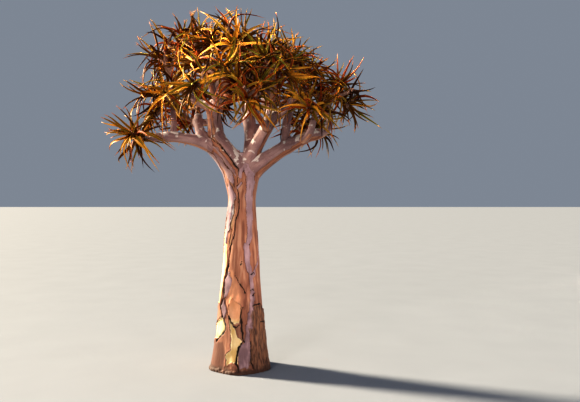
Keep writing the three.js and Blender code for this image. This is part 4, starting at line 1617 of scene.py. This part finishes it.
# %% Make the foliage of each region
REGIONS = {
    "left": ["low_left_mass", "mid_left_mass", "upper_left_mass", "top_left_mass"],
    "front": ["front_left_mass", "front_top_mass", "front_right_top_mass", "front_centre_mass"],
    "right": ["top_right_mass", "upper_right_mass", "right_mass", "front_right_mass", "mid_right_mass"],
    "back": ["back_left_mass", "back_cross_mass", "low_back_right_mass", "back_top_mass", "back_mass",
             "back_right_mass"],
}


def foliage_of(region, names):
    corners, looks, twigs = [], [], []
    for mass in (mass for mass in masses if mass["name"] in names):
        twigs.extend(mass["twigs"])
        for head in mass["heads"]:
            leaves = fitted(rosette(head, mass), mass)
            corners.append(leaf_corners(leaves, mass["chance"]))
            sprays = OPEN_SPRAYS if "open" in head else SPRAYS if head["main"] else SHADED_INNER_SPRAYS
            looks.append(looks_of(leaves, sprays, mass["chance"]))
    corners, looks = np.concatenate(corners), np.concatenate(looks)
    leaf_piece = put(f"{region}_leaves", leaf_mesh(f"{region}_leaves", corners, looks, leaf_finishes))
    twig_piece = put(f"{region}_twigs", twig_mesh(f"{region}_twigs", twigs))
    twig_piece.data.materials.append(twig_finish)
    print(region, len(looks), "leaves on", len(twigs), "twigs")
    return leaf_piece, twig_piece


for region, names in REGIONS.items():
    for piece in foliage_of(region, names):
        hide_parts(*names)
        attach(piece, "root")

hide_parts("trunk")
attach(trunk_bark_piece, "root")
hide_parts(*[name for name in limbs if name != "trunk"])
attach(bough_bark_piece, "root")

# %% [markdown]
# ## Floor and light
#
# The floor and the background are pale and plain. The sun is warm, and stands high on the left and a
# little behind, so the trunk's left edge and the tops of the leaves are bright. Three lamps keep colour
# in the shade: a broad one in front, from the upper left, a narrow one on the crown, and a narrow low
# one on the trunk's right.

# %% Set the stage
FLOOR_REACH = 150
SUN_POWER = 10.0
SUN_WIDTH = 8
SUN_TURN = (62, 0, -113)
# name, place, what it points at, size, power in watts, tint and spread in degrees
LAMPS = [
    ("fill", (-3.4, -7.4, 5.4), (0, 0, 1.8), 1.6, 200, "#fff0e2", 180),
    ("crown_light", (-6.0, -4.8, 6.5), (0.05, -0.1, 2.95), 0.5, 10, "#ffe8cc", 14),
    ("low_fill", (5.9, -4.2, 0.7), (0, 0, 0.8), 1.2, 4.0, "#ffe9dc", 20),
]


def floor_finish():
    material, tree = new_material("pale_floor")
    place = add(tree, "ShaderNodeTexCoord").outputs["Object"]
    cloud = add(tree, "ShaderNodeTexNoise", {"Vector": place, "Scale": 1.5, "Detail": 3.0}).outputs["Fac"]
    tints = {0: cloud, COLOUR_A: colour("#888e97"), COLOUR_B: colour("#90969f")}
    mixed = add(tree, "ShaderNodeMix", tints, data_type="RGBA").outputs[COLOUR_OUT]
    shader = add(tree, "ShaderNodeBsdfPrincipled", {"Base Color": mixed, "Roughness": 0.9})
    add(tree, "ShaderNodeOutputMaterial", {"Surface": shader.outputs[0]})
    return material


def light(name, place, target, size, power, tint, spread):
    lamp = bpy.data.lights.new(name, "AREA")
    lamp.shape = "DISK"
    lamp.size = size
    lamp.energy = power
    lamp.color = colour(tint)[:3]
    lamp.spread = math.radians(spread)
    made = put(name, lamp)
    made.location = place
    away = np.array(place) - np.array(target)
    tilt = math.atan2(math.hypot(away[0], away[1]), away[2])
    made.rotation_euler = (tilt, 0, math.atan2(away[1], away[0]) + math.pi / 2)


floor_mesh = bpy.data.meshes.new("floor")
ways = [(-1, -1), (1, -1), (1, 1), (-1, 1)]
floor_corners = [(x * FLOOR_REACH, y * FLOOR_REACH, 0) for x, y in ways]
floor_mesh.from_pydata(floor_corners, [], [(0, 1, 2, 3)])
floor_mesh.materials.append(floor_finish())
put("floor", floor_mesh)

world = bpy.data.worlds.new("pale_room")
world.use_nodes = True
background = world.node_tree.nodes["Background"]
background.inputs["Color"].default_value = colour("#d5e0f0")
background.inputs["Strength"].default_value = 0.3
bpy.context.scene.world = world

bpy.context.scene.view_settings.view_transform = "Standard"
bpy.context.scene.view_settings.look = "High Contrast"

sun = bpy.data.lights.new("key", "SUN")
sun.energy = SUN_POWER
sun.angle = math.radians(SUN_WIDTH)
sun.color = colour("#ffeed2")[:3]
put("key", sun).rotation_euler = [math.radians(turn) for turn in SUN_TURN]
for lamp in LAMPS:
    light(*lamp)
print("four lights and a pale room")
